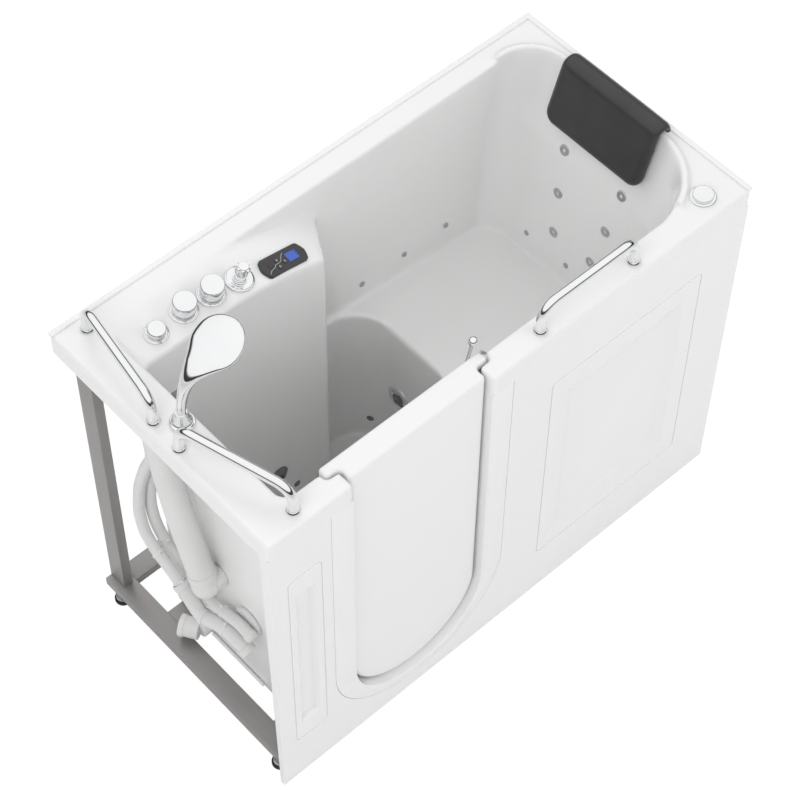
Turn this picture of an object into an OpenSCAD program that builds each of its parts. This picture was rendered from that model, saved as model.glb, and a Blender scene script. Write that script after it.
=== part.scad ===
// Walk-in bathtub with an inward-opening door, deck taps and jets.
// x runs from foot end to head end, y from front to back, z up from the floor.

/* [Overall] */
// Length of the tub over the deck
tub_length = 1295; // [1240:5:1400]
// Width of the tub over the deck
tub_width = 660; // [640:5:720]
// Height of the deck above the floor
tub_height = 970; // [930:5:1020]

/* [Shell] */
// Thickness of the moulded shell
shell_wall = 6; // [4:0.5:8]
// Depth of the lip round the deck
lip_height = 55; // [40:1:70]
// Radius along the front and left edges of the deck
deck_edge_r = 8; // [4:0.5:12]
// Height of the tile flange above the deck
tile_flange_rise = 4; // [2:0.5:8]
// Width of the tile flange along the back and right edges
tile_flange_width = 12; // [8:0.5:16]
// Width of the deck at the foot end
foot_deck = 92; // [84:1:100]
// Width of the deck along the front
front_deck = 62; // [58:1:70]
// Width of the deck along the back
back_deck = 63; // [58:1:80]
// Width of the deck at the head end
head_deck = 50; // [44:1:60]

/* [Basin] */
// Height of the footwell floor
floor_height = 68; // [66:1:70]
// How far the foot wall draws in towards the floor
foot_draft = 13; // [4:1:16]
// How far the back wall draws in towards the floor
back_draft = 24; // [8:1:28]
// Radius of the upright corners of the footwell
well_corner_r = 22; // [12:1:30]
// Radius of the front corner at the head end
head_front_r = 165; // [150:5:180]
// Radius of the back corner at the head end
head_back_r = 85; // [70:5:95]
// Recline of the upper backrest in degrees
upper_recline = 19.4; // [14:0.2:22]
// Recline of the lower backrest in degrees
lower_recline = 10; // [6:0.5:14]
// Depth below the deck where the recline changes
recline_break = 170; // [140:5:200]
// Height of the raised bead round the head end
bead_rise = 18; // [12:1:24]
// Width of the raised bead
bead_width = 18; // [14:1:22]

/* [Seat] */
// Height of the front edge of the seat
seat_height = 525; // [480:5:550]
// Fall of the seat towards the backrest in degrees
seat_fall = 5.2; // [2:0.2:7]
// Length of the footwell, from the foot wall to the seat
well_length = 543; // [530:1:560]
// Depth of the leg recess in the front of the seat
recess_depth = 99; // [80:1:110]
// Width of the leg recess
recess_width = 330; // [300:5:350]
// Corner radius of the leg recess
recess_r = 92; // [70:2:100]
// Distance from the back wall to the leg recess
recess_offset = 22; // [16:1:30]

/* [Valve ledge] */
// Depth of the lowered ledge that carries the taps
ledge_depth = 109; // [105:1:112]
// Fall of the ledge towards the basin in degrees
ledge_fall = 12; // [8:0.5:14]
// Length of the flat stretch of the ledge
ledge_flat = 208; // [200:1:240]
// Radius of the curve down towards the seat
ledge_radius = 660; // [600:10:800]
// Length of the ledge along its front edge
ledge_front_length = 470; // [462:1:480]
// Length of the ledge along the back wall
ledge_back_length = 536; // [525:1:545]

/* [Door] */
// Half of the width of the door opening
opening_half = 180; // [176:1:184]
// Distance from the foot end to the middle of the door
door_middle = 391; // [388:0.5:394]
// Height of the centre of the round lower edge of the door
door_arc_height = 254; // [252:0.5:256]
// Gap between the door and its opening
door_gap = 5.5; // [4.5:0.25:6.5]
// Thickness of the outer door skin's plug
plug_depth = 32; // [30:0.5:33]
// Distance from the front of the tub to the face of the door
door_setback = 16; // [14:0.5:16]
// Rounding of the door's front edge
door_edge_r = 9; // [4:0.5:12]
// How far the inner flange reaches past the opening
flange_lap = 27; // [24:0.5:28]
// Thickness of the inner flange
flange_depth = 25; // [22:0.5:26]
// Wall of the hollow door mouldings
door_wall = 5; // [4:0.5:6]
// Radius of the rounded ears of the inner flange
flange_edge_r = 7; // [3:0.5:9]
// Depth of the front step of the door frame
jamb_depth = 42; // [41:0.5:42.5]
// Clearance round the inner flange
flange_gap = 5; // [4:0.25:6]
// Clearance between the flange and the floor of the footwell
threshold_gap = 4; // [3:0.5:6]
// Half of the width of the moulded door frame
frame_half = 237; // [230:0.5:238]
// Height of the centre of the frame's round lower edge
frame_arc_height = 285; // [280:1:290]
// Width of the door's rubber seal
seal_width = 20; // [16:0.5:21]
// Clearance between the seal and what it closes against
seal_gap = 0.4; // [0.3:0.1:0.6]

/* [Hinges and latch] */
// Outer radius of the hinge knuckles
knuckle_r = 6; // [5:0.25:7]
// Radius of the hinge pins
hinge_pin_r = 3; // [2:0.25:3.5]
// Running clearance of the hinge pins
pin_clearance = 0.06; // [0.03:0.01:0.1]
// Length of each hinge
hinge_length = 96; // [80:2:120]
// Thickness of the hinge leaves
leaf_thickness = 3; // [2:0.5:4]
// Width of the hinge leaves
leaf_width = 28; // [20:1:32]
// Height of the upper hinge's middle
upper_hinge_height = 790; // [760:5:820]
// Height of the lower hinge's middle
lower_hinge_height = 330; // [300:5:360]
// Distance from the top of the door to the latch pivot
latch_drop = 70; // [62:1:76]
// Length of the latch lever from its pivot to its ball
lever_length = 91; // [84:1:96]
// Lean of the latch lever from upright in degrees
lever_lean = 16; // [10:1:20]
// Radius of the lever's rod
lever_r = 4; // [3:0.25:5]
// Radius of the lever's ball
lever_ball_r = 10.5; // [8:0.5:12]
// Angle between the released and the closed latch in degrees
latch_turn = 35; // [30:1:40]
// Distance from the latch pivot to the keeper pin
hook_reach = 52; // [50:0.5:54]
// Thickness of the latch hook
hook_thickness = 5; // [4:0.25:6]
// Radius of the keeper pin
keeper_pin_r = 4; // [3:0.25:4.5]

/* [Grab bars] */
// Radius of the grab bars
bar_r = 10.5; // [9:0.5:12]
// Height of the bars' middle above the deck
bar_height = 70; // [60:1:80]
// Radius of the bars' bends
bar_bend_r = 36; // [28:1:40]
// Radius of the bars' flanges
bar_flange_r = 15; // [13:0.5:17]
// Height of the bars' flanges
bar_flange_height = 8; // [5:0.5:12]

/* [Taps] */
// Radius of the flow and diverter knobs
knob_r = 25.5; // [22:0.5:28]
// Height of the flow and diverter knobs
knob_height = 34; // [28:1:40]
// Radius of the knobs' cover rings
cover_r = 31; // [28.5:0.5:32]
// Thickness of the knobs' cover rings
cover_height = 6; // [4:0.5:8]
// Radius of the small air knob
air_knob_r = 20; // [17:0.5:23]
// Height of the small air knob
air_knob_height = 16; // [12:1:20]
// Radius of the thermostat knob
thermo_r = 15; // [12:0.5:18]
// Height of the thermostat knob
thermo_height = 46; // [38:1:54]
// Radius of the knobs' spindles
spindle_r = 6; // [4:0.5:8]
// Running clearance of the spindles
spindle_clearance = 0.06; // [0.03:0.01:0.1]

/* [Keypad] */
// Length of the keypad
keypad_length = 120; // [110:1:126]
// Width of the keypad
keypad_width = 46; // [42:1:50]
// Height of the keypad above the ledge
keypad_rise = 5; // [4:0.5:7]
// Travel of the keys
key_travel = 0.6; // [0.4:0.1:1]

/* [Drain] */
// Radius of the drain dial
dial_r = 28.5; // [25:0.5:30]
// Radius of the drain opening in the floor
drain_r = 22; // [18:0.5:24]
// Outer radius of the drain pipe
drain_pipe_r = 24.15; // [22:0.05:26]

/* [Shower] */
// Radius of the hand shower's holder on the deck
holder_r = 26; // [22:0.5:28]
// Radius of the shower head
head_r = 57; // [48:1:62]
// Tilt of the shower head's face in degrees
head_tilt = 33; // [25:1:40]

/* [Jets] */
// Radius of the back jets' chrome rings
back_jet_r = 13; // [11:0.5:15]
// Radius of the small air jets
air_jet_r = 7; // [5:0.5:9]
// Radius of the small jets low in the footwell
well_jet_r = 9; // [7:0.5:11]
// Radius of the large foot jet
foot_jet_r = 36; // [30:1:40]
// Radius of the suction cover
suction_r = 23; // [20:1:28]

/* [Headrest] */
// Length of the headrest
headrest_length = 280; // [250:5:300]
// Drop of the headrest down the backrest
headrest_drop = 128; // [100:2:140]
// Thickness of the headrest's padding
headrest_pad = 26; // [20:1:30]

/* [Frame] */
// Width of the frame's steel tubes
tube_width = 49; // [40:1:50]
// Height of the frame's steel tubes
tube_height = 25; // [20:1:25]
// Wall of the frame's steel tubes
tube_wall = 2; // [1.5:0.25:3]
// Height of the frame's underside above the floor
frame_clearance = 37; // [35:1:37]
// Radius of the levelling feet
foot_r = 20; // [16:0.5:24]
// Radius of the feet's threaded stems
stem_r = 6; // [4:0.5:8]

/* [Plumbing] */
// Radius of the large waste pipe
waste_pipe_r = 30; // [26:1:32]
// Radius of the two supply hoses
hose_r = 13; // [11:0.5:14]
// Radius of the air manifold
manifold_r = 17; // [15:0.5:18]

/* [Hidden] */

$fn = 48;

// Overrun of every cut past the face it goes through
cut = 1;
// Steps on a quarter of an outline's round corner
corner_steps = 8;
// Length that reaches past the whole tub
far = 2 * tub_length;

// Named places of the basin
foot_inner = foot_deck;
front_inner = front_deck;
back_inner = tub_width - back_deck;
head_inner = tub_length - head_deck;
valve_wall_y = back_inner - ledge_depth;
seat_front_x = foot_inner + well_length;
recess_x = seat_front_x + recess_depth;
recess_y1 = back_inner - recess_offset;
recess_y0 = recess_y1 - recess_width;
ledge_front_x = foot_inner + ledge_front_length;
ledge_back_x = foot_inner + ledge_back_length;
skirt_height = tub_height - lip_height;
break_height = tub_height - recline_break;
break_x = head_inner - recline_break * tan(upper_recline);

// Slopes of the two drafted walls
back_slope = back_draft / (tub_height - floor_height);
foot_slope = foot_draft / (tub_height - floor_height);

// Named places of the door
flange_front = door_setback + plug_depth;
flange_back = flange_front + flange_depth;
plug_half = opening_half - door_gap;
flange_half = opening_half + flange_lap;
rebate_half = flange_half + flange_gap;
door_top = tub_height - 2 * seal_gap;
flange_bottom = floor_height + threshold_gap;
hinge_axis_inset = 1;
knuckle_gap = 0.5;
hinge_axis_x = door_middle - flange_half + hinge_axis_inset;
hinge_axis_y = flange_back + knuckle_r + knuckle_gap;
latch_share = 0.8647;
latch_x = door_middle + latch_share * flange_half;
latch_z = tub_height - latch_drop;
latch_boss_height = 5;
latch_hub_r = 9;
latch_hub_height = 6;
latch_pin_r = 5;
hook_y0 = flange_back + latch_boss_height;
hook_y1 = hook_y0 + hook_thickness;
lever_y = hook_y1 + latch_hub_height / 2;

// Helpers for outlines and prisms
function arc(centre, radius, from, to, steps = corner_steps) =
    [for (i = [0 : steps]) let (a = from + (to - from) * i / steps) centre + radius * [cos(a), sin(a)]];
function spot(share) = [share[0] * tub_length, share[1] * tub_width];
function flipped(points) = [for (i = [len(points) - 1 : -1 : 0]) [-points[i][0], points[i][1]]];

module place() {
    translate([-tub_length / 2, -tub_width / 2, 0]) children();
}

// A prism along x over an outline of y and z
module prism_x(x0, x1, points) {
    translate([x0, 0, 0]) rotate([90, 0, 90]) linear_extrude(x1 - x0) polygon(points);
}

// A prism along y over an outline of x and z
module prism_y(y0, y1, points) {
    translate([0, y1, 0]) rotate([90, 0, 0]) linear_extrude(y1 - y0) polygon(points);
}

// A prism along z over an outline of x and y
module prism_z(z0, z1, points) {
    translate([0, 0, z0]) linear_extrude(z1 - z0) polygon(points);
}

module block(low, high) {
    translate(low) cube(high - low);
}

// Outlines of the basin, grown by g; the front is cut straight afterwards
side_overrun = 20;
turn_in = 11;
function oblique_x(y, g) =
    ledge_front_x + (y - valve_wall_y) * (ledge_back_x - ledge_front_x) / ledge_depth
    - g * norm([ledge_back_x - ledge_front_x, ledge_depth]) / ledge_depth;

function well_outline(g) = concat(
    arc([foot_inner + well_corner_r, front_inner + well_corner_r], well_corner_r + g, 180, 270),
    [[seat_front_x + g, front_inner - g], [seat_front_x + g, recess_y0 - g]],
    arc([recess_x - recess_r, recess_y0 + recess_r], recess_r + g, -90, 0),
    arc([recess_x - recess_r, recess_y1 - recess_r], recess_r + g, 0, 90),
    [[oblique_x(recess_y1 + g, g), recess_y1 + g], [oblique_x(valve_wall_y + g, g), valve_wall_y + g]],
    arc([foot_inner + well_corner_r, valve_wall_y - well_corner_r], well_corner_r + g, 90, 180));

function body_outline(g) = [
    [seat_front_x - recess_depth - g, front_inner - g - side_overrun],
    [recess_x + recess_depth, front_inner - g - side_overrun],
    [recess_x + recess_depth, back_inner + g],
    [oblique_x(back_inner + g, g), back_inner + g],
    [oblique_x(valve_wall_y + g, g), valve_wall_y + g],
    [seat_front_x - recess_depth - g, valve_wall_y + g]];

function head_outline(g) = let (
    front_arc = arc([-head_front_r, front_inner + head_front_r], head_front_r + g, turn_in - 90, 0,
        2 * corner_steps),
    tail = 2 * side_overrun / sin(turn_in)) concat(
    [front_arc[0] - tail * [cos(turn_in), sin(turn_in)]], front_arc,
    arc([-head_back_r, back_inner - head_back_r], head_back_r + g, 0, 90),
    [[recess_x - head_inner, back_inner + g],
        [recess_x - head_inner, front_arc[0][1] - tail * sin(turn_in)]]);

// One straight stretch of the reclined head end, between two heights
module reclined_bay(g, angle, foot_x, foot_z, z0, z1) {
    intersection() {
        translate([foot_x, 0, foot_z]) rotate([0, angle, 0]) translate([0, 0, -far / 2])
            linear_extrude(far) polygon(head_outline(g));
        block([0, -far, z0], [far, far, z1]);
    }
}

module seat_space(g, over) {
    intersection() {
        union() {
            prism_z(0, tub_height + over, body_outline(g));
            reclined_bay(g, upper_recline, head_inner, tub_height, break_height, tub_height + over);
            reclined_bay(g, lower_recline, break_x, break_height, 0, break_height);
        }
        prism_y(0, tub_width, [
            [0, seat_height + seat_front_x * tan(seat_fall) - g],
            [tub_length, seat_height - (tub_length - seat_front_x) * tan(seat_fall) - g],
            [tub_length, far], [0, far]]);
    }
}

// The lowered ledge's surface, in the frame that tilts about its back edge
function ledge_curve(g) = concat(
    [[0, tub_height], [0, -g], [foot_inner + ledge_flat, -g]],
    arc([foot_inner + ledge_flat, -ledge_radius], ledge_radius - g, 90, 55, 2 * corner_steps),
    [[tub_length, tub_height]]);

module ledge_space(g, over) {
    intersection() {
        translate([0, back_inner, tub_height]) rotate([ledge_fall, 0, 0])
            prism_y(-tub_width, 0, ledge_curve(g));
        prism_z(floor_height, tub_height + over, [
            [foot_inner - g, valve_wall_y - well_corner_r],
            [recess_x, valve_wall_y - well_corner_r],
            [recess_x, back_inner + g],
            [foot_inner - g, back_inner + g]]);
    }
}

module basin_space(g, over) {
    intersection() {
        union() {
            prism_z(floor_height - g, tub_height + over, well_outline(g));
            seat_space(g, over);
            ledge_space(g, over);
        }
        prism_x(0, tub_length, [
            [front_inner - g, 0],
            [back_inner + g - tub_height * back_slope, 0],
            [back_inner + g + over * back_slope, tub_height + over],
            [front_inner - g, tub_height + over]]);
        prism_y(0, tub_width, [
            [foot_inner - g + tub_height * foot_slope, 0],
            [tub_length, 0],
            [tub_length, tub_height + over],
            [foot_inner - g - over * foot_slope, tub_height + over]]);
    }
}

// Half outline of a U-shaped slab: half width, front y, back y, front edge radius
function slab_half(half, y0, y1, edge) = concat(
    [[0, y0]],
    edge > 0 ? arc([half - edge, y0 + edge], edge, -90, 0) : [[half, y0]],
    [[half, y1]]);

// A slab with upright sides and a half-round lower edge
module u_slab(outline, middle, arc_z, top) {
    last = outline[len(outline) - 1];
    half_points = last[0] > 0 ? concat(outline, [[0, last[1]]]) : outline;
    translate([middle, 0, arc_z]) {
        side = [for (p = half_points) if (p[0] > 0) p];
        linear_extrude(top - arc_z) polygon(concat(side, flipped(side)));
        rotate([-90, 0, 0]) rotate_extrude(angle = 180, $fn = 2 * $fn) polygon(half_points);
    }
}

// The same path followed by an outline that stays clear of the middle
module u_rim(points, middle, arc_z, top) {
    translate([middle, 0, arc_z]) {
        for (side = [0, 1]) mirror([side, 0, 0]) linear_extrude(top - arc_z) polygon(points);
        rotate([-90, 0, 0]) rotate_extrude(angle = 180, $fn = 2 * $fn) polygon(points);
    }
}

// The way through for the door, grown by g
module door_way(g, top) {
    u_slab(slab_half(opening_half + g, -cut, front_inner + cut, 0),
        door_middle, door_arc_height, top);
    intersection() {
        u_slab(slab_half(rebate_half + g, jamb_depth - g, front_inner + cut, 0),
            door_middle, door_arc_height, top);
        block([0, 0, floor_height - g], [tub_length, tub_width, top]);
    }
}

// The deck with its rounded front and left edges and its lip
module deck_tray() {
    difference() {
        intersection() {
            prism_x(0, tub_length, concat(
                arc([deck_edge_r, tub_height - deck_edge_r], deck_edge_r, 180, 90),
                [[tub_width, tub_height], [tub_width, skirt_height], [0, skirt_height]]));
            prism_y(0, tub_width, concat(
                arc([deck_edge_r, tub_height - deck_edge_r], deck_edge_r, 180, 90),
                [[tub_length, tub_height], [tub_length, skirt_height], [0, skirt_height]]));
        }
        difference() {
            block([shell_wall, shell_wall, skirt_height - cut],
                [tub_length - shell_wall, tub_width - shell_wall, tub_height - shell_wall]);
            door_way(shell_wall, tub_height);
        }
    }
}

module tile_flanges() {
    block([0, tub_width - tile_flange_width, tub_height - shell_wall],
        [tub_length, tub_width, tub_height + tile_flange_rise]);
    block([tub_length - tile_flange_width, 0, tub_height - shell_wall],
        [tub_length, tub_width, tub_height + tile_flange_rise]);
}

// The raised bead round the head end, with its top edge stepped in
module head_bead() {
    bead_start = tub_length - 3 * head_deck;
    bead_shoulder = bead_rise / 3;
    intersection() {
        union() {
            prism_z(tub_height, tub_height + bead_rise - bead_shoulder,
                [for (p = head_outline(bead_width)) p + [head_inner, 0]]);
            prism_z(tub_height, tub_height + bead_rise,
                [for (p = head_outline(bead_width - bead_shoulder)) p + [head_inner, 0]]);
        }
        block([bead_start, 0, 0], [tub_length, tub_width, far]);
    }
}

// Places of the pieces on the deck and in the basin, as shares of the tub
air_knob_share = [0.1259, 0.385];
flow_knob_share = [0.1838, 0.45];
diverter_share = [0.2355, 0.413];
thermo_share = [0.2873, 0.349];
keypad_share = [0.369, 0.238];
holder_share = [0.0479, 0.488];
dial_share = [0.9293, 0.0771];
drain_share = [0.2, 0.4];
suction_share = [0.3181, 0.2598];
well_jet_share = [0.356, 0.1701];
recess_jet_turn = 31;
recess_jet_share = 0.134;
foot_jet_share = [0.6758, 0.2907];
spout_share = 0.5788;
back_jet_drop_shares = [0.167, 0.286, 0.395];
back_jet_side_shares = [[0.379, 0.641], [0.4015, 0.623], [0.427, 0.6015]];
back_air_drop_share = 0.4557;
back_air_side_shares = [0.341, 0.518, 0.709];
wall_air_drop_share = 0.4237;
wall_air_shares = [0.5776, 0.6741, 0.7707];
left_back_bar_shares = [[0.0494, 0.9364], [0.0175, 0.547]];
left_front_bar_shares = [[0.0155, 0.4242], [0.0693, 0.0485]];
front_bar_shares = [[0.556, 0.0406], [0.7557, 0.0406]];

// Sizes that the fittings share
jet_body_share = 0.6;
hole_clearance = 0.3;
seat_clearance = 0.3;
sleeve_r = 11;
socket_r = 14;
drain_stem_r = 3;

// Moves to a place on the ledge, with z square to its surface
module on_ledge(share, lift = 0) {
    x = share[0] * tub_length;
    turn = x > foot_inner + ledge_flat ? asin((x - foot_inner - ledge_flat) / ledge_radius) : 0;
    translate([0, back_inner, tub_height]) rotate([ledge_fall, 0, 0])
        translate([x, -ledge_depth * (1 - share[1]) / cos(ledge_fall), ledge_radius * (cos(turn) - 1)])
            rotate([0, turn, 0]) translate([0, 0, lift]) children();
}

// Moves to a place on the backrest, z into the basin
module on_back(drop, y) {
    upper = drop < recline_break;
    angle = upper ? upper_recline : lower_recline;
    x = upper ? head_inner - drop * tan(upper_recline)
        : break_x - (drop - recline_break) * tan(lower_recline);
    translate([x, y, tub_height - drop]) rotate([0, angle - 90, 0]) children();
}

// Moves to a place on the back wall above the seat, z into the basin
module on_back_wall(x, drop) {
    translate([x, back_inner - drop * back_slope, tub_height - drop])
        rotate([90 - atan(back_slope), 0, 0]) children();
}

// Moves to a place on the valve wall, z into the basin
module on_valve_wall(share) {
    translate([share[0] * tub_length, valve_wall_y, share[1] * tub_height]) rotate([90, 0, 0]) children();
}

// Moves to a place on the flat of the leg recess, z into the basin
module on_recess(share) {
    translate([recess_x, share[0] * tub_width, share[1] * tub_height]) rotate([0, -90, 0]) children();
}

// Moves to a place on the back corner of the leg recess
module on_recess_corner(turn, height) {
    translate([recess_x - recess_r, recess_y1 - recess_r, height]) rotate([0, 0, turn])
        translate([recess_r, 0, 0]) rotate([0, -90, 0]) children();
}

module each_back_jet() {
    for (row = [0 : 2])
        for (side = [0 : 1])
            on_back(back_jet_drop_shares[row] * tub_height, back_jet_side_shares[row][side] * tub_width)
                children();
}

module each_air_jet() {
    for (share = back_air_side_shares)
        on_back(back_air_drop_share * tub_height, share * tub_width) children();
    for (share = wall_air_shares)
        on_back_wall(share * tub_length, wall_air_drop_share * tub_height) children();
}

module each_well_jet() {
    on_valve_wall(well_jet_share) children();
    on_recess_corner(recess_jet_turn, recess_jet_share * tub_height) children();
}

module shell_hole(radius) {
    translate([0, 0, -2 * shell_wall]) cylinder(r = radius + hole_clearance, h = 3 * shell_wall);
}

module shell_holes() {
    each_back_jet() shell_hole(jet_body_share * back_jet_r);
    each_air_jet() shell_hole(jet_body_share * air_jet_r);
    each_well_jet() shell_hole(jet_body_share * well_jet_r);
    on_recess(foot_jet_share) shell_hole(jet_body_share * foot_jet_r);
    on_valve_wall(suction_share) shell_hole(jet_body_share * suction_r);
    translate(concat(spot(drain_share), [floor_height])) shell_hole(drain_pipe_r);
    translate(concat(spot(dial_share), [tub_height])) shell_hole(sleeve_r);
    translate(concat(spot(holder_share), [tub_height])) shell_hole(socket_r);
    for (share = [air_knob_share, flow_knob_share, diverter_share, thermo_share])
        on_ledge(share) shell_hole(sleeve_r);
}

module tub_shell() color("white") place() {
    difference() {
        union() {
            deck_tray();
            basin_space(shell_wall, 0);
        }
        basin_space(0, cut);
        door_way(0, tub_height + cut);
        shell_holes();
    }
    tile_flanges();
    difference() {
        head_bead();
        basin_space(0, 2 * bead_rise);
    }
}

// Front skirt with its moulded panels
skirt_wall = 6;
seam_gap = 1;
return_top = 28;
return_bottom = 12;
panel_groove = 3;
panel_groove_depth = 2;
panel_corner_r = 14;
panel_bottom = 150;
panel_top_margin = 120;
left_panel_x = 40;
left_panel_width = 88;
right_panel_x = 742;
right_panel_width = 436;
trough_depth = 10;
left_trough_inset = [18, 66];
right_trough_inset = [47, 60];
left_trough_slope = 9;
right_trough_slope = 24;

function rounded(x0, z0, x1, z1, r) = concat(
    arc([x1 - r, z0 + r], r, -90, 0), arc([x1 - r, z1 - r], r, 0, 90),
    arc([x0 + r, z1 - r], r, 90, 180), arc([x0 + r, z0 + r], r, 180, 270));

// The groove round a moulded panel and the trough inside it
module panel_cuts(x, width, inset, slope) {
    z0 = panel_bottom;
    z1 = skirt_height - panel_top_margin;
    difference() {
        prism_y(-cut, panel_groove_depth, rounded(x, z0, x + width, z1, panel_corner_r));
        prism_y(-2 * cut, panel_groove_depth + cut,
            rounded(x + panel_groove, z0 + panel_groove, x + width - panel_groove, z1 - panel_groove,
                panel_corner_r - panel_groove));
    }
    intersection() {
        prism_z(z0, z1, [
            [x + inset[0], -cut], [x + inset[0], 0], [x + inset[0] + slope, trough_depth],
            [x + width - inset[0] - slope, trough_depth], [x + width - inset[0], 0],
            [x + width - inset[0], -cut]]);
        prism_x(x, x + width, [
            [-cut, z0 + inset[1]], [0, z0 + inset[1]], [trough_depth, z0 + inset[1] + slope],
            [trough_depth, z1 - inset[1] - slope], [0, z1 - inset[1]], [-cut, z1 - inset[1]]]);
    }
}

module panel_back(x, width, inset) {
    block([x + inset[0] - skirt_wall, 0, panel_bottom + inset[1] - skirt_wall],
        [x + width - inset[0] + skirt_wall, trough_depth + skirt_wall,
            skirt_height - panel_top_margin - inset[1] + skirt_wall]);
}

module skirt_return(x) {
    prism_x(x, x + skirt_wall,
        [[0, 0], [return_bottom, 0], [return_top, skirt_height], [0, skirt_height]]);
}

module front_skirt() color("white") place() difference() {
    union() {
        block([0, 0, 0], [tub_length, skirt_wall, skirt_height]);
        skirt_return(0);
        skirt_return(tub_length - skirt_wall);
        panel_back(left_panel_x, left_panel_width, left_trough_inset);
        panel_back(right_panel_x, right_panel_width, right_trough_inset);
    }
    u_slab(slab_half(frame_half + seam_gap, -cut, skirt_wall + cut, 0),
        door_middle, frame_arc_height, skirt_height + cut);
    panel_cuts(left_panel_x, left_panel_width, left_trough_inset, left_trough_slope);
    panel_cuts(right_panel_x, right_panel_width, right_trough_inset, right_trough_slope);
}

// Moulded frame round the door, open to the service space behind it
module door_frame() color("white") place() difference() {
    u_slab(slab_half(frame_half, 0, front_inner - shell_wall, 0),
        door_middle, frame_arc_height, skirt_height);
    door_way(0, skirt_height + cut);
    difference() {
        u_slab(slab_half(frame_half - shell_wall, shell_wall, front_inner, 0),
            door_middle, frame_arc_height, skirt_height + cut);
        door_way(shell_wall, skirt_height + 2 * cut);
    }
}

// Door: the outer skin's hollow plug, the inner flange and the seal between them
function pan_inside(y_open, y_wall) =
    [[plug_half - door_wall, y_open], [plug_half - door_wall, y_wall], [0, y_wall]];

module door_outer() color("white") place() {
    u_slab(concat(slab_half(plug_half, door_setback, flange_front, door_edge_r),
            pan_inside(flange_front, door_setback + door_wall)),
        door_middle, door_arc_height, door_top);
    block([door_middle - plug_half + door_wall, door_setback + door_wall, door_top - door_wall],
        [door_middle + plug_half - door_wall, flange_front, door_top]);
}

module door_inner() color("white") place() intersection() {
    union() {
        u_slab(concat([[0, flange_back]],
                arc([flange_half - flange_edge_r, flange_back - flange_edge_r], flange_edge_r, 90, 0, 3),
                arc([flange_half - flange_edge_r, flange_front + flange_edge_r], flange_edge_r, 0, -90, 3),
                pan_inside(flange_front, flange_back - door_wall)),
            door_middle, door_arc_height, door_top);
        block([door_middle - plug_half + door_wall, flange_front, door_top - door_wall],
            [door_middle + plug_half - door_wall, flange_back - door_wall, door_top]);
    }
    block([0, 0, flange_bottom], [tub_length, tub_width, far]);
}

module door_seal() color("dimgray") place() intersection() {
    inner = plug_half + 2 * seal_gap;
    u_rim([[inner, jamb_depth + seal_gap], [inner + seal_width, jamb_depth + seal_gap],
            [inner + seal_width, flange_front], [inner, flange_front]],
        door_middle, door_arc_height, door_top);
    block([0, 0, flange_bottom], [tub_length, tub_width, far]);
}

// Hinges: a fixed leaf with two knuckles, a door leaf with one, and the pin
pin_head_r = 5;
pin_head_height = 3;

module knuckle(z0, z1) {
    translate([hinge_axis_x, hinge_axis_y, z0]) cylinder(r = knuckle_r, h = z1 - z0);
}

module pin_bore(height, radius) {
    translate([hinge_axis_x, hinge_axis_y, height - hinge_length])
        cylinder(r = radius, h = 2 * hinge_length);
}

module fixed_leaf(height) color("silver") place() difference() {
    web_x = hinge_axis_x - 2 * knuckle_r;
    third = hinge_length / 3;
    union() {
        block([web_x - leaf_width, front_inner, height - hinge_length / 2],
            [web_x + leaf_thickness, front_inner + leaf_thickness, height + hinge_length / 2]);
        for (z = [height - hinge_length / 2, height + third / 2]) {
            block([web_x, front_inner, z], [web_x + leaf_thickness, hinge_axis_y, z + third]);
            block([web_x, flange_back + knuckle_gap, z],
                [hinge_axis_x, hinge_axis_y, z + third]);
            knuckle(z, z + third);
        }
    }
    pin_bore(height, hinge_pin_r);
}

module door_leaf(height) color("silver") place() difference() {
    third = hinge_length / 3;
    leaf_x = hinge_axis_x + knuckle_r + 3 * knuckle_gap;
    union() {
        block([leaf_x, flange_back, height - hinge_length / 2],
            [leaf_x + leaf_width, flange_back + leaf_thickness, height + hinge_length / 2]);
        block([hinge_axis_x, flange_back + knuckle_gap, height - third / 2 + knuckle_gap],
            [leaf_x, flange_back + leaf_thickness, height + third / 2 - knuckle_gap]);
        knuckle(height - third / 2 + knuckle_gap, height + third / 2 - knuckle_gap);
    }
    pin_bore(height, hinge_pin_r + pin_clearance);
}

module hinge_pin(height) color("silver") place() {
    translate([hinge_axis_x, hinge_axis_y, height - hinge_length / 2])
        cylinder(r = hinge_pin_r, h = hinge_length);
    for (z = [height - hinge_length / 2 - pin_head_height, height + hinge_length / 2])
        translate([hinge_axis_x, hinge_axis_y, z]) cylinder(r = pin_head_r, h = pin_head_height);
}

module hinge_upper_fixed_leaf() fixed_leaf(upper_hinge_height);
module hinge_upper_door_leaf() door_leaf(upper_hinge_height);
module hinge_upper_pin() hinge_pin(upper_hinge_height);
module hinge_lower_fixed_leaf() fixed_leaf(lower_hinge_height);
module hinge_lower_door_leaf() door_leaf(lower_hinge_height);
module hinge_lower_pin() hinge_pin(lower_hinge_height);

// Latch: a lever and a hook that turn on one pin, and a keeper on the wall
latch_cap_r = 7;
latch_cap_height = 2;
latch_gap = 0.3;
slot_gap = 1.5;
hook_tip = 6;
hook_low = 10;
hook_high = 12;
keeper_plate = 14;
keeper_end = 5;

// A round piece along y at a place in x and z
module along_y(x, z, y0, y1, radius) {
    translate([x, y1, z]) rotate([90, 0, 0]) cylinder(r = radius, h = y1 - y0);
}

module latch_pivot() color("silver") place() {
    along_y(latch_x, latch_z, flange_back, hook_y0, latch_hub_r);
    along_y(latch_x, latch_z, flange_back, hook_y1 + latch_hub_height + latch_gap, latch_pin_r);
    along_y(latch_x, latch_z, hook_y1 + latch_hub_height + latch_gap,
        hook_y1 + latch_hub_height + latch_gap + latch_cap_height, latch_cap_r);
}

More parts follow.
